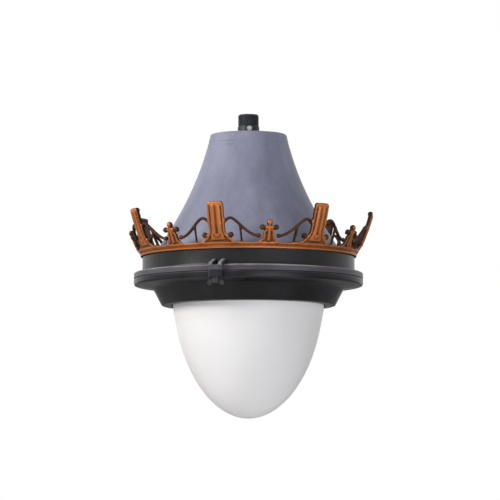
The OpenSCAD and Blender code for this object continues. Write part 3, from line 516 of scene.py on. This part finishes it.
# The flange's faces that don't look down take the lighter paint, so the flange is lighter above and
# darker below: partly weathering, partly painted light and painted shade.
for face in body_ring.data.polygons:
    out = math.hypot(face.center.x, face.center.y) > FLANGE_IN_R
    looks_down = face.normal.z < -0.5
    at_hinge = face.center.y > FLANGE_IN_R and abs(face.center.x) < HINGE_HALF_W
    face.material_index = int(out and not looks_down and not at_hinge)
seal_rubber = finish(
    "black_rubber", (srgb(30, 30, 31), srgb(38, 38, 39), srgb(46, 46, 47)),
    roughness=(0.6, 0.72), patch=40, grain=350, grain_depth=0.1,
)
canopy_seal = dressed("canopy_seal", "canopy_seal_ring", 0.4 * MM)
fitted(canopy_seal, "canopy_seal", "root", seal_rubber)

# Bowl frame: the second casting, hinged behind. Its flange meets the body ring's over the
# gasket, and its tapered skirt ends in the lip that carries the bowl.
bowl_frame = dressed("bowl_frame", "bowl_frame_casting", 1.0 * MM, segments=3)
fitted(bowl_frame, "bowl_frame", "frame", black_paint)
silicone = finish(
    "grey_silicone", (srgb(150, 152, 152), srgb(164, 166, 166), srgb(176, 178, 178)),
    roughness=(0.5, 0.62), patch=40, grain=300, grain_depth=0.06,
)
frame_gasket = dressed("frame_gasket", "frame_gasket_ring", 0.8 * MM, segments=3)
fitted(frame_gasket, "frame_gasket", "frame", silicone)
bowl_seal = dressed("bowl_seal", "bowl_seal_ring", 0.4 * MM)
fitted(bowl_seal, "bowl_seal", "frame", silicone)

# Bowl: blown opal acrylic with a flat flange, a short neck with two moulded steps, and a
# full round end. It glows a little where light passes through the wall.
BOWL_LOW, BOWL_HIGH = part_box("bowl")
BOWL_FLANGE_R = BOWL_HIGH.x
BOWL_R = BOWL_FLANGE_R - 16 * MM
BOWL_FLANGE_T = 4 * MM
BOWL_FULLNESS = 1.8
BOWL_WALL = 3.5 * MM
BOWL_STEPS = 64
NECK_STEPS = (28 * MM, 42 * MM)
NECK_STEP_DEPTH = 0.9 * MM
NECK_STEP_W = 2.2 * MM
bowl_under = BOWL_HIGH.z - BOWL_FLANGE_T
bowl_depth = bowl_under - BOWL_LOW.z


def bowl_edge(angle, inset):
    """Radius and height of the bowl's wall, from its neck at 0 to its tip at a quarter turn."""
    return (
        max((BOWL_R - inset) * math.cos(angle), 0),
        bowl_under - (bowl_depth - inset) * math.sin(angle) ** (2 / BOWL_FULLNESS),
    )


def bowl_outside(angle):
    """The outer face, which steps in slightly at each moulded ring of the neck."""
    radius, height = bowl_edge(angle, 0)
    for ring in NECK_STEPS:
        above = height - (bowl_under - ring)
        radius -= NECK_STEP_DEPTH * 0.5 * (1 - math.tanh(above / (NECK_STEP_W / 2)))
    return max(radius, 0), height


bowl_angles = [math.pi / 2 * step / BOWL_STEPS for step in range(BOWL_STEPS + 1)]
bowl_outline = [(BOWL_FLANGE_R - 0.8 * MM, BOWL_HIGH.z), (BOWL_FLANGE_R, BOWL_HIGH.z - 0.8 * MM),
                (BOWL_FLANGE_R, bowl_under + 0.8 * MM), (BOWL_FLANGE_R - 0.8 * MM, bowl_under),
                (BOWL_R + 1.5 * MM, bowl_under), (BOWL_R + 0.4 * MM, bowl_under - 0.4 * MM)]
bowl_outline += [bowl_outside(angle) for angle in bowl_angles[2:]]
bowl_outline += [bowl_edge(angle, BOWL_WALL) for angle in reversed(bowl_angles[::2])]
bowl_outline.append((BOWL_R - BOWL_WALL, BOWL_HIGH.z))
bowl = turned("bowl_opal", bowl_outline)
opal = finish(
    "opal_acrylic", (srgb(240, 237, 237), srgb(243, 240, 240), srgb(246, 243, 243)),
    roughness=(0.34, 0.42), patch=4, grain=120, grain_depth=0.012, shine=0.35,
)
opal_shader = opal.node_tree.nodes["Principled BSDF"]
opal_shader.inputs["Subsurface Weight"].default_value = 0.3
opal_shader.inputs["Subsurface Radius"].default_value = (1.0, 0.95, 0.92)
opal_shader.inputs["Subsurface Scale"].default_value = 4 * MM
fitted(bowl, "bowl", "frame", opal)

# Coronet: one flared copper-coloured casting of seven tall leaves, seven trefoils and the
# arched scrolls between them, screwed down by its foot. Raised rims, a fluted column with a
# rolled tip on each leaf, and round scroll bars are cast with it; its hollows are dark.
LEAVES = 7
SECTOR = 2 * math.pi / LEAVES
CORONET_FOOT_Z = CANOPY_LOW.z - 2 * MM
CORONET_R = 214 * MM
CORONET_TIP_R = 249 * MM
CORONET_FLARE = 0.52
LEAF_H = 90 * MM
LEAF_W = 31 * MM
LEAF_FOOT_W = 96 * MM
LEAF_SHOULDER_H = 36 * MM
BAND_H = 12 * MM
TREFOIL_H = 55 * MM
TREFOIL_W = 38 * MM
SCROLL_H = 60 * MM
SCROLL_ARCH = 0.24
SCROLL_STEPS = 28
BAR_R = 3.0 * MM
RIM_R = 1.9 * MM
RIM_INSET = RIM_R * 0.7
RIM_LIFT = -0.4 * MM
FLUTE_R = 2.6 * MM
FLUTE_X = 5.2 * MM
KNOB_R = 5.6 * MM
TIP_ROLL_R = 5.2 * MM
BEAD_R = 1.5 * MM
BEAD_STEPS = 120
CORONET_VOXEL = 1.45 * MM
CORONET_TRIANGLES = 180000
coronet_curl = (CORONET_R + CORONET_FLARE * LEAF_H - CORONET_TIP_R) / LEAF_H ** 2


def coronet_edge(height):
    """The flared wall's outer radius at a height above the coronet's foot."""
    return CORONET_R + CORONET_FLARE * height - coronet_curl * height ** 2


def on_flare(across, height, turn=0.0, lift=0.0):
    """A point of the flared face, across from the middle of a leaf at an angle round the axis."""
    radius = coronet_edge(height) + lift
    away = math.sqrt(radius ** 2 - across ** 2)
    flat = Matrix.Rotation(turn, 3, "Z") @ Vector((across, -away, 0))
    return (flat.x, flat.y, CORONET_FOOT_Z + height)


def bar(name, points, radius, ends=True):
    """A round bar along a chain of points."""
    piece = edge_chain(name, points)
    bpy.ops.object.mode_set(mode="OBJECT")
    bpy.ops.object.convert(target="CURVE")
    piece = bpy.context.object
    piece.data.bevel_depth = radius
    piece.data.bevel_resolution = 3
    piece.data.use_fill_caps = ends
    bpy.ops.object.convert(target="MESH")
    return bpy.context.object


def ball(name, place, radius, flatten=(1, 1, 1)):
    """A round knob, flattened where asked."""
    bpy.ops.object.select_all(action="DESELECT")
    bpy.ops.mesh.primitive_uv_sphere_add(segments=24, ring_count=16, radius=radius, location=place)
    knob = bpy.context.object
    knob.name = knob.data.name = name
    bpy.ops.object.mode_set(mode="EDIT")
    bpy.ops.transform.resize(value=flatten, center_override=place)
    bpy.ops.object.mode_set(mode="OBJECT")
    bpy.ops.object.transform_apply(location=True)
    return knob


def placed_copy(piece, turn, flip=False):
    """A copy with its own mesh, turned round the axis and, where asked, mirrored first."""
    again = piece.copy()
    again.data = piece.data.copy()
    bpy.context.scene.collection.objects.link(again)
    if flip:
        again.data.transform(Matrix.Scale(-1, 4, (1, 0, 0)))
        again.data.flip_normals()
    again.data.transform(Matrix.Rotation(turn, 4, "Z"))
    return again


def hollow_curve(foot_x, stem_x, foot_y, stem_y, count=8):
    """A hollow curve from a foot corner up to a narrow stem."""
    return [
        (foot_x - (foot_x - stem_x) * math.sin(math.pi / 2 * step / count),
         stem_y - (stem_y - foot_y) * math.cos(math.pi / 2 * step / count))
        for step in range(count + 1)
    ]


scroll_reach = SECTOR / 2 * coronet_edge(SCROLL_H * 0.6)


def scroll_line(share):
    """The scroll's centre line, from beside the leaf up over its arch and down to the trefoil."""
    if share < SCROLL_ARCH:
        height = SCROLL_H - 13 * MM + 11 * MM * math.sin(math.pi / 2 * share / SCROLL_ARCH)
    else:
        fall = ((share - SCROLL_ARCH) / (1 - SCROLL_ARCH)) ** 0.8
        height = 24 * MM + (SCROLL_H - 26 * MM) * (0.5 + 0.5 * math.cos(math.pi * fall))
    return scroll_reach * (0.12 + 0.64 * share), height


leaf_side = [(LEAF_FOOT_W / 2 - 5 * MM, BAND_H + 0.5 * MM)]
leaf_side += hollow_curve(LEAF_FOOT_W / 2, LEAF_W / 2, BAND_H - 2 * MM, LEAF_SHOULDER_H)[2:]
leaf_side += [(LEAF_W / 2 + 0.6 * MM, LEAF_H - 26 * MM), (LEAF_W / 2, LEAF_H - 5 * MM)]
trefoil_side = hollow_curve(29 * MM, 11 * MM, BAND_H - 2 * MM, BAND_H + 12 * MM, 5)[1:]
trefoil_side += [(11 * MM, TREFOIL_H - 25 * MM), (6.5 * MM, TREFOIL_H - 19 * MM)]
flute_heights = [LEAF_SHOULDER_H - 8 * MM + (LEAF_H - LEAF_SHOULDER_H) * step / 10
                 for step in range(11)]
scroll_points = [scroll_line(step / SCROLL_STEPS) for step in range(SCROLL_STEPS + 1)]
stalk_x, stalk_top = scroll_points[0]
stalk_x += 1.5 * MM
arm_x = TREFOIL_W / 2 - 5 * MM
arm_h = TREFOIL_H - 15 * MM
between = SECTOR / 2

cast_half = [
    bar("leaf_rim", [on_flare(x - RIM_INSET, h, lift=RIM_LIFT) for x, h in leaf_side], RIM_R),
    bar("leaf_flute", [on_flare(FLUTE_X, h, lift=0.6 * MM) for h in flute_heights], FLUTE_R),
    bar("scroll_bar", [on_flare(x, h, lift=-2.4 * MM) for x, h in scroll_points], BAR_R),
    bar("scroll_stalk", [on_flare(stalk_x, h, lift=-2.6 * MM)
                         for h in (20 * MM, 30 * MM, 40 * MM, stalk_top)], BAR_R * 0.9),
    ball("scroll_eye", on_flare(LEAF_W / 2 + 11 * MM, LEAF_SHOULDER_H - 10 * MM, lift=-2.6 * MM),
         KNOB_R),
    ball("scroll_end", on_flare(*scroll_points[-1], lift=-2.2 * MM), 4.6 * MM),
    bar("trefoil_rim", [on_flare(x - RIM_INSET, h, between, RIM_LIFT) for x, h in trefoil_side],
        RIM_R),
    ball("trefoil_arm", on_flare(arm_x, arm_h, between, -2 * MM), KNOB_R),
]
cast_whole = [
    bar("leaf_tip_roll", [on_flare(x, LEAF_H - TIP_ROLL_R, lift=-3.6 * MM)
                          for x in (-LEAF_W / 2 + 1.5 * MM, 0, LEAF_W / 2 - 1.5 * MM)], TIP_ROLL_R),
    ball("leaf_boss", on_flare(0, LEAF_SHOULDER_H - 9 * MM, lift=-1 * MM), 6.5 * MM, (1, 0.62, 1)),
    ball("trefoil_crown", on_flare(0, TREFOIL_H - 6 * MM, between, -2 * MM), 6.2 * MM),
    bar("trefoil_stem", [on_flare(0, h, between, -0.4 * MM)
                         for h in (BAND_H + 2 * MM, BAND_H + 14 * MM, arm_h, TREFOIL_H - 7 * MM)],
        3.2 * MM),
    bar("trefoil_crossbar", [on_flare(x, arm_h, between, -0.8 * MM) for x in (-arm_x, 0, arm_x)],
        BAR_R),
]
sector_parts = cast_half + cast_whole
for part in cast_half:
    middle = SECTOR if part.name.startswith("trefoil") else 0
    sector_parts.append(placed_copy(part, middle, flip=True))
coronet_parts = [placed_copy(part, leaf * SECTOR)
                 for leaf in range(1, LEAVES) for part in sector_parts]
bead_h = BAND_H - BEAD_R
bead_ring_r = coronet_edge(bead_h) - 0.3 * MM
bead_turns = [math.radians(step * 360 / BEAD_STEPS) for step in range(BEAD_STEPS + 1)]
band_bead = bar("band_bead", [
    (math.sin(turn) * bead_ring_r, -math.cos(turn) * bead_ring_r, CORONET_FOOT_Z + BAND_H - BEAD_R)
    for turn in bead_turns
], BEAD_R)
coronet = joined("coronet_casting", dressed("coronet", "coronet_core", rounding=0),
                 *sector_parts, *coronet_parts, band_bead)
one_cast = coronet.modifiers.new("one_cast", "REMESH")
one_cast.mode = "VOXEL"
one_cast.voxel_size = CORONET_VOXEL
bpy.ops.object.modifier_apply(modifier="one_cast")
worn = coronet.modifiers.new("worn_round", "SMOOTH")
worn.factor = 0.5
worn.iterations = 3
bpy.ops.object.modifier_apply(modifier="worn_round")
lighter = coronet.modifiers.new("lighter_mesh", "DECIMATE")
lighter.ratio = min(1, CORONET_TRIANGLES / (2 * len(coronet.data.polygons)))
bpy.ops.object.modifier_apply(modifier="lighter_mesh")
bpy.ops.object.shade_smooth()

# Patina and painted shade: the casting is copper where a face looks outwards and stands proud,
# rubbed bright, and dark brown in its hollows as patina; the darker brown on its sides and its
# back is painted shade.
HOLLOW_PASSES = 6
FACING_FROM = 0.35
FACING_SPAN = 0.5
PROUD_SPAN = 1.6
HOLLOW_FROM = -0.6
HOLLOW_SPAN = 0.72
BAR_SHARE = 0.3
corners = len(coronet.data.vertices)
places = np.empty(corners * 3)
coronet.data.vertices.foreach_get("co", places)
places = places.reshape(-1, 3)
facing = np.empty(corners * 3)
coronet.data.vertices.foreach_get("normal", facing)
facing = facing.reshape(-1, 3)
radii = np.hypot(places[:, 0], places[:, 1])
heights = places[:, 2] - CORONET_FOOT_Z
proud = radii - (CORONET_R + CORONET_FLARE * heights - coronet_curl * heights ** 2)
outward = (facing[:, 0] * places[:, 0] + facing[:, 1] * places[:, 1]) / radii
ends = np.empty(len(coronet.data.edges) * 2, dtype=np.int64)
coronet.data.edges.foreach_get("vertices", ends)
ends = ends.reshape(-1, 2)
around = np.zeros((corners, 3))
count = np.bincount(ends.ravel(), minlength=corners)
smoothed = places.copy()
for _ in range(HOLLOW_PASSES):
    for axis in range(3):
        around[:, axis] = (np.bincount(ends[:, 0], smoothed[ends[:, 1], axis], corners)
                           + np.bincount(ends[:, 1], smoothed[ends[:, 0], axis], corners))
    smoothed = around / count[:, None]
bulge = ((places - smoothed) * facing).sum(axis=1) / MM
# Faces turned sideways or back from the outward direction are darkened as painted shade; proud
# faces are rubbed bright, and hollows are darkened as patina.
rubbed_and_lit = (np.clip((outward - FACING_FROM) / FACING_SPAN, 0, 1)
          * np.clip((proud / MM + PROUD_SPAN) / PROUD_SPAN, 0, 1))
rubbed_and_lit *= np.clip((bulge - HOLLOW_FROM) / HOLLOW_SPAN, 0, 1)
turns = np.arctan2(places[:, 0], -places[:, 1])
from_leaf = np.abs((turns + SECTOR / 2) % SECTOR - SECTOR / 2) * radii
from_trefoil = np.abs(turns % SECTOR - SECTOR / 2) * radii
below_shoulder = np.clip(1 - heights / LEAF_SHOULDER_H, 0, 1)
leaf_reach = LEAF_W / 2 + 2 * MM + (LEAF_FOOT_W - LEAF_W) / 2 * below_shoulder ** 1.6
trefoil_reach = 13 * MM + 16 * MM * np.clip(1 - heights / (BAND_H + 14 * MM), 0, 1)
trefoil_reach = np.where(heights > TREFOIL_H - 22 * MM, 7.5 * MM, trefoil_reach)
plate = (from_leaf < leaf_reach) | (from_trefoil < trefoil_reach) | (heights < BAND_H)
rubbed_and_lit *= np.where(plate, 1.0, BAR_SHARE)
rubbed_and_lit = np.maximum(rubbed_and_lit, BAR_SHARE * np.clip(-outward, 0, 1))
patina_and_shade = coronet.data.attributes.new("patina_and_shade", "FLOAT", "POINT")
patina_and_shade.data.foreach_set("value", rubbed_and_lit.astype(np.float32))

copper = bpy.data.materials.new("patinated_copper_painted_shade")
copper.use_nodes = True
copper_shader = copper.node_tree.nodes["Principled BSDF"]
cast_place = shader_node(copper, "ShaderNodeTexCoord")
cloud = shader_node(copper, "ShaderNodeTexNoise",
                    {"Vector": cast_place.outputs["Object"], "Scale": 16,
                     "Detail": 6, "Roughness": 0.65})
speckle = shader_node(copper, "ShaderNodeTexNoise",
                      {"Vector": cast_place.outputs["Object"], "Scale": 240, "Detail": 3})
rubbed_and_lit_node = shader_node(copper, "ShaderNodeAttribute", attribute_name="patina_and_shade")
uneven = shader_node(copper, "ShaderNodeMath",
                     {0: cloud.outputs["Fac"], 1: 0.55, 2: rubbed_and_lit_node.outputs["Fac"]},
                     operation="MULTIPLY_ADD")
copper_share = shader_node(copper, "ShaderNodeMapRange",
                           {"Value": uneven.outputs[0], "From Min": 0.3, "From Max": 1.25})
copper_colour = tones(
    copper, copper_share.outputs[0],
    (0.0, srgb(42, 28, 22)), (0.3, srgb(78, 46, 28)), (0.6, srgb(142, 80, 40)),
    (1.0, srgb(184, 110, 58)),
)
copper.node_tree.links.new(copper_colour, copper_shader.inputs["Base Color"])
copper_gloss = shader_node(copper, "ShaderNodeMapRange",
                           {"Value": copper_share.outputs[0], "To Min": 0.62, "To Max": 0.4})
copper.node_tree.links.new(copper_gloss.outputs[0], copper_shader.inputs["Roughness"])
copper_grain = shader_node(copper, "ShaderNodeBump",
                           {"Height": speckle.outputs["Fac"], "Strength": 0.2,
                            "Distance": 0.5 * MM})
copper.node_tree.links.new(copper_grain.outputs[0], copper_shader.inputs["Normal"])
copper_shader.inputs["Metallic"].default_value = 0.45
copper_shader.inputs["Specular IOR Level"].default_value = 0.25
fitted(coronet, "coronet", "root", copper)

# Screws and nuts: small plated pan-head screws with a hexagon socket hold the canopy, coronet,
# tray, gear, reflector, bracket and clips; one is turned for the length of each solid of its CAD
# node and put in that solid's place. The canopy's screws take plain hexagon nuts.
SCREW_R = 2.5 * MM
HEAD_R = SCREW_R * 1.8
HEAD_H = SCREW_R * 1.3
SOCKET_R = 1.7 * MM


def socket_screw(name, length):
    """A screw whose head is seated at height 0, below its upright shank."""
    screw = turned(name, [
        (0, -HEAD_H), (HEAD_R * 0.7, -HEAD_H), (HEAD_R * 0.9, -HEAD_H * 0.82),
        (HEAD_R, -HEAD_H * 0.45), (HEAD_R, 0), (SCREW_R, 0),
        (SCREW_R, length - 0.6 * MM), (SCREW_R - 0.6 * MM, length), (0, length),
    ], steps=32)
    bpy.ops.object.select_all(action="DESELECT")
    bpy.ops.mesh.primitive_cylinder_add(vertices=6, radius=SOCKET_R, depth=HEAD_H,
                                        location=(0, 0, -HEAD_H * 0.95))
    socket = bpy.context.object
    cut = screw.modifiers.new("socket", "BOOLEAN")
    cut.object = socket
    bpy.context.view_layer.objects.active = screw
    bpy.ops.object.modifier_apply(modifier="socket")
    bpy.data.objects.remove(socket)
    return screw


def loose_solids(node):
    """The corners of each loose solid of a node's box, and whether its wide end is on top."""
    dressed(node, node + "_solids", rounding=0)
    bpy.ops.object.mode_set(mode="EDIT")
    bpy.ops.mesh.select_all(action="SELECT")
    bpy.ops.mesh.separate(type="LOOSE")
    bpy.ops.object.mode_set(mode="OBJECT")
    found = []
    for solid in list(bpy.context.selected_objects):
        corners = np.array([vertex.co for vertex in solid.data.vertices])
        low, high = corners.min(axis=0), corners.max(axis=0)
        middle = (low + high) / 2
        reach = np.hypot(corners[:, 0] - middle[0], corners[:, 1] - middle[1])
        at_top = reach[corners[:, 2] > high[2] - 0.2 * MM].max()
        at_foot = reach[corners[:, 2] < low[2] + 0.2 * MM].max()
        found.append((low, high, at_top > at_foot))
        bpy.data.objects.remove(solid)
    return found


def screwed(node, body, material):
    """Puts a socket screw in the place of each solid of a screw node."""
    screws = []
    for low, high, head_up in loose_solids(node):
        length = high[2] - low[2] - HEAD_H
        screw = socket_screw(node + "_screw", float(length))
        if head_up:
            screw.data.transform(Matrix.Rotation(math.pi, 4, "X"))
        seat = high[2] - HEAD_H if head_up else low[2] + HEAD_H
        axis = ((low[0] + high[0]) / 2, (low[1] + high[1]) / 2)
        screw.data.transform(Matrix.Translation((*axis, seat)))
        screws.append(screw)
    fitted(joined(node + "_set", *screws), node, body, material)


for screw_node in ("canopy_screws", "coronet_screws", "tray_screws", "ballast_screws",
                   "gear_screws", "reflector_screws", "bracket_screws"):
    screwed(screw_node, "root", zinc)
screwed("clip_screws", "frame", zinc)
canopy_nuts = dressed("canopy_nuts", "canopy_nut_set", 0.4 * MM)
fitted(canopy_nuts, "canopy_nuts", "root", zinc)
capacitor_nut = dressed("capacitor_nut", "capacitor_nut_hexagon", 0.5 * MM)
fitted(capacitor_nut, "capacitor_nut", "root", zinc)

# Gear tray: a galvanised sheet disc under the shelf, with the spangle of hot zinc.
tray_zinc = finish(
    "galvanised_sheet", (srgb(158, 162, 164), srgb(176, 180, 182), srgb(196, 199, 200)),
    roughness=(0.3, 0.5), patch=70, grain=260, grain_depth=0.05, metallic=0.9,
)
gear_tray = dressed("gear_tray", "gear_tray_disc", 0.4 * MM)
fitted(gear_tray, "gear_tray", "root", tray_zinc)

# Ballast: a stack of iron laminations dipped in dark varnish round a taped coil.
varnished_iron = finish(
    "varnished_iron", (srgb(44, 38, 34), srgb(60, 52, 46), srgb(80, 70, 62)),
    roughness=(0.32, 0.5), patch=20, stretch=(1, 40, 1), grain=500, grain_depth=0.2,
)
ballast = dressed("ballast", "ballast_core", 0.8 * MM)
fitted(ballast, "ballast", "root", varnished_iron)

# Capacitor: a drawn aluminium can with a rolled rim and two blade terminals.
can_metal = finish(
    "drawn_can", (srgb(176, 178, 180), srgb(192, 194, 196), srgb(206, 208, 210)),
    roughness=(0.26, 0.36), patch=24, stretch=(1, 1, 0.1), grain=400, grain_depth=0.05,
    metallic=1.0,
)
capacitor = dressed("capacitor", "capacitor_can", 0.5 * MM)
fitted(capacitor, "capacitor", "root", can_metal)

# Ignitor and terminal block: moulded white plastic, screwed through their ears.
white_plastic = finish(
    "white_plastic", (srgb(214, 212, 204), srgb(222, 220, 213), srgb(229, 227, 221)),
    roughness=(0.38, 0.48), patch=18, grain=300, grain_depth=0.03,
)
ignitor = dressed("ignitor", "ignitor_case", 1.2 * MM, segments=3)
fitted(ignitor, "ignitor", "root", white_plastic)
terminal_block = dressed("terminal_block", "terminal_block_moulding", 0.5 * MM)
fitted(terminal_block, "terminal_block", "root", white_plastic)

# Reflector: a spun aluminium dish in white stove enamel round the lampholder.
white_enamel = finish(
    "white_enamel", (srgb(226, 226, 223), srgb(232, 232, 229), srgb(237, 237, 235)),
    roughness=(0.2, 0.3), patch=9, grain=200, grain_depth=0.03, coat=0.3,
)
reflector = dressed("reflector", "reflector_dish", 0.35 * MM)
fitted(reflector, "reflector", "root", white_enamel)

# Lampholder, its bracket and the lamp: a glazed porcelain holder on a folded zinc strap, and a
# coated elliptical discharge lamp on a screw cap.
HOLDER_LOW, HOLDER_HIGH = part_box("lampholder")
HOLDER_R = HOLDER_HIGH.x
HOLDER_BORE_R = 13.7 * MM
LAMP_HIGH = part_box("lamp")[1]
LAMP_R = LAMP_HIGH.x
LAMP_CAP_R = 13.2 * MM
LAMP_H = 126 * MM
bracket = dressed("lampholder_bracket", "lampholder_strap", 0.4 * MM)
fitted(bracket, "lampholder_bracket", "root", zinc)
holder_outline = [(0, HOLDER_HIGH.z)]
holder_outline += [
    (HOLDER_R - inwards * MM, HOLDER_HIGH.z - down * MM)
    for inwards, down in ((8, 0), (7, 1), (6, 9), (5, 11), (2, 12.4), (1, 14))
]
for groove in range(3):
    groove_z = HOLDER_HIGH.z - (19 + 5 * groove) * MM
    holder_outline += [(HOLDER_R - inwards * MM, groove_z + up * MM)
                       for inwards, up in ((1, 1), (1.8, 0.5), (1.8, -0.5), (1, -1))]
holder_outline += [
    (HOLDER_R - inwards * MM, HOLDER_LOW.z + up * MM)
    for inwards, up in ((1, 12), (0, 11), (0, 2), (0.6, 0.6), (2, 0))
]
holder_outline += [
    (HOLDER_BORE_R + 1 * MM, HOLDER_LOW.z), (HOLDER_BORE_R, HOLDER_LOW.z + 1 * MM),
    (HOLDER_BORE_R, LAMP_HIGH.z), (0, LAMP_HIGH.z),
]
porcelain = finish(
    "glazed_porcelain", (srgb(226, 222, 212), srgb(232, 228, 219), srgb(237, 234, 226)),
    roughness=(0.14, 0.22), patch=20, grain=200, grain_depth=0.03, coat=0.4,
)
lampholder = turned("lampholder_body", holder_outline, steps=96)
fitted(lampholder, "lampholder", "root", porcelain)

neck_r = LAMP_CAP_R + 2 * MM
bulge_z = HOLDER_LOW.z - LAMP_H * 0.58
glass_outline = [(0, HOLDER_LOW.z - 2 * MM), (neck_r - 2 * MM, HOLDER_LOW.z - 2 * MM)]
glass_outline += [
    (neck_r + (LAMP_R - neck_r) * math.cos(math.radians(angle)),
     bulge_z + LAMP_H * 0.45 * math.sin(math.radians(angle)))
    for angle in range(80, -1, -5)
]
glass_outline += [
    (LAMP_R * math.cos(math.radians(angle)),
     bulge_z - LAMP_H * 0.42 * math.sin(math.radians(angle)))
    for angle in range(5, 91, 5)
]
glass_outline[-1] = (0, glass_outline[-1][1])
lamp_glass = turned("lamp_glass_envelope", glass_outline, steps=96)
cap_outline = [(0, LAMP_HIGH.z), (4.6 * MM, LAMP_HIGH.z), (5 * MM, LAMP_HIGH.z - 0.6 * MM),
               (LAMP_CAP_R - 0.6 * MM, LAMP_HIGH.z - 5 * MM)]
for turn_of_cap in range(5):
    ridge_z = LAMP_HIGH.z - (6.4 + 3.6 * turn_of_cap) * MM
    cap_outline += [(LAMP_CAP_R - 0.9 * MM, ridge_z), (LAMP_CAP_R, ridge_z - 1.2 * MM),
                    (LAMP_CAP_R, ridge_z - 1.8 * MM), (LAMP_CAP_R - 0.9 * MM, ridge_z - 3 * MM)]
cap_outline += [(LAMP_CAP_R - 0.2 * MM, HOLDER_LOW.z - 2.4 * MM), (0, HOLDER_LOW.z - 2.4 * MM)]
lamp_cap = turned("lamp_cap_shell", cap_outline, steps=96, smooth=50)
coated_glass = finish(
    "coated_glass", (srgb(228, 227, 222), srgb(233, 232, 228), srgb(238, 237, 233)),
    roughness=(0.12, 0.2), patch=10, grain=200, grain_depth=0.01, coat=0.5,
)
cap_nickel = finish(
    "cap_nickel", (srgb(150, 146, 136), srgb(172, 168, 158), srgb(190, 187, 178)),
    roughness=(0.25, 0.38), patch=60, grain=400, grain_depth=0.04, metallic=1.0,
)
fitted(lamp_glass, "lamp", "root", coated_glass)
fitted(lamp_cap, "lamp", "root", cap_nickel)

# Hinge: a plated steel pin through the ears and the knuckle, kept by a spring clip.
hinge_pin = dressed("hinge_pin", "hinge_pin_rod", 0.5 * MM)
fitted(hinge_pin, "hinge_pin", "root", zinc)
spring_steel = finish(
    "spring_steel", (srgb(120, 120, 122), srgb(140, 140, 142), srgb(158, 158, 160)),
    roughness=(0.25, 0.36), patch=50, grain=400, grain_depth=0.04, metallic=1.0,
)
hinge_clip = dressed("hinge_pin_clip", "hinge_pin_e_clip", 0.2 * MM)
fitted(hinge_clip, "hinge_pin_clip", "root", spring_steel)
bowl_clips = dressed("bowl_clips", "bowl_clip_set", 0.3 * MM)
fitted(bowl_clips, "bowl_clips", "frame", spring_steel)

# Catch: a captive wing screw of blackened zinc with a rolled thread, that draws the two lugs
# together over a plain washer.
WASHER_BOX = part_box("catch_washer")
WASHER_LOW = WASHER_BOX[0].z
CATCH_X = 0.0
CATCH_Y = (WASHER_BOX[0].y + WASHER_BOX[1].y) / 2
CATCH_R = 4 * MM
CATCH_PITCH = 1.25 * MM
CATCH_THREAD_DEPTH = 0.65 * MM
CATCH_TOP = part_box("catch_screw")[1].z
black_zinc = finish(
    "blackened_zinc", (srgb(34, 33, 34), srgb(46, 45, 47), srgb(66, 65, 68)),
    roughness=(0.34, 0.48), patch=70, grain=500, grain_depth=0.08, metallic=0.5,
)
washer = dressed("catch_washer", "catch_washer_plate", 0.3 * MM)
fitted(washer, "catch_washer", "washer", black_zinc)
wing_casting = dressed("catch_screw", "wing_casting", 0.8 * MM, segments=3)
bpy.ops.object.mode_set(mode="EDIT")
bpy.ops.mesh.select_all(action="DESELECT")
bpy.ops.object.mode_set(mode="OBJECT")
for vertex in wing_casting.data.vertices:
    vertex.select = vertex.co.z > WASHER_LOW + 0.5 * MM
bpy.ops.object.mode_set(mode="EDIT")
slimmer = 1 - CATCH_THREAD_DEPTH / CATCH_R
bpy.ops.transform.resize(value=(slimmer, slimmer, 1),
                         center_override=(CATCH_X, CATCH_Y, WASHER_LOW))
bpy.ops.object.mode_set(mode="OBJECT")
wing_thread = thread("wing_thread", CATCH_R, CATCH_THREAD_DEPTH, CATCH_PITCH,
                     WASHER_LOW + 0.8 * MM, CATCH_TOP - 0.6 * MM)
wing_thread.data.transform(Matrix.Translation((CATCH_X, CATCH_Y, 0)))
wing_screw = joined("wing_screw_casting", wing_casting, wing_thread)
fitted(wing_screw, "catch_screw", "wing_screw", black_zinc)
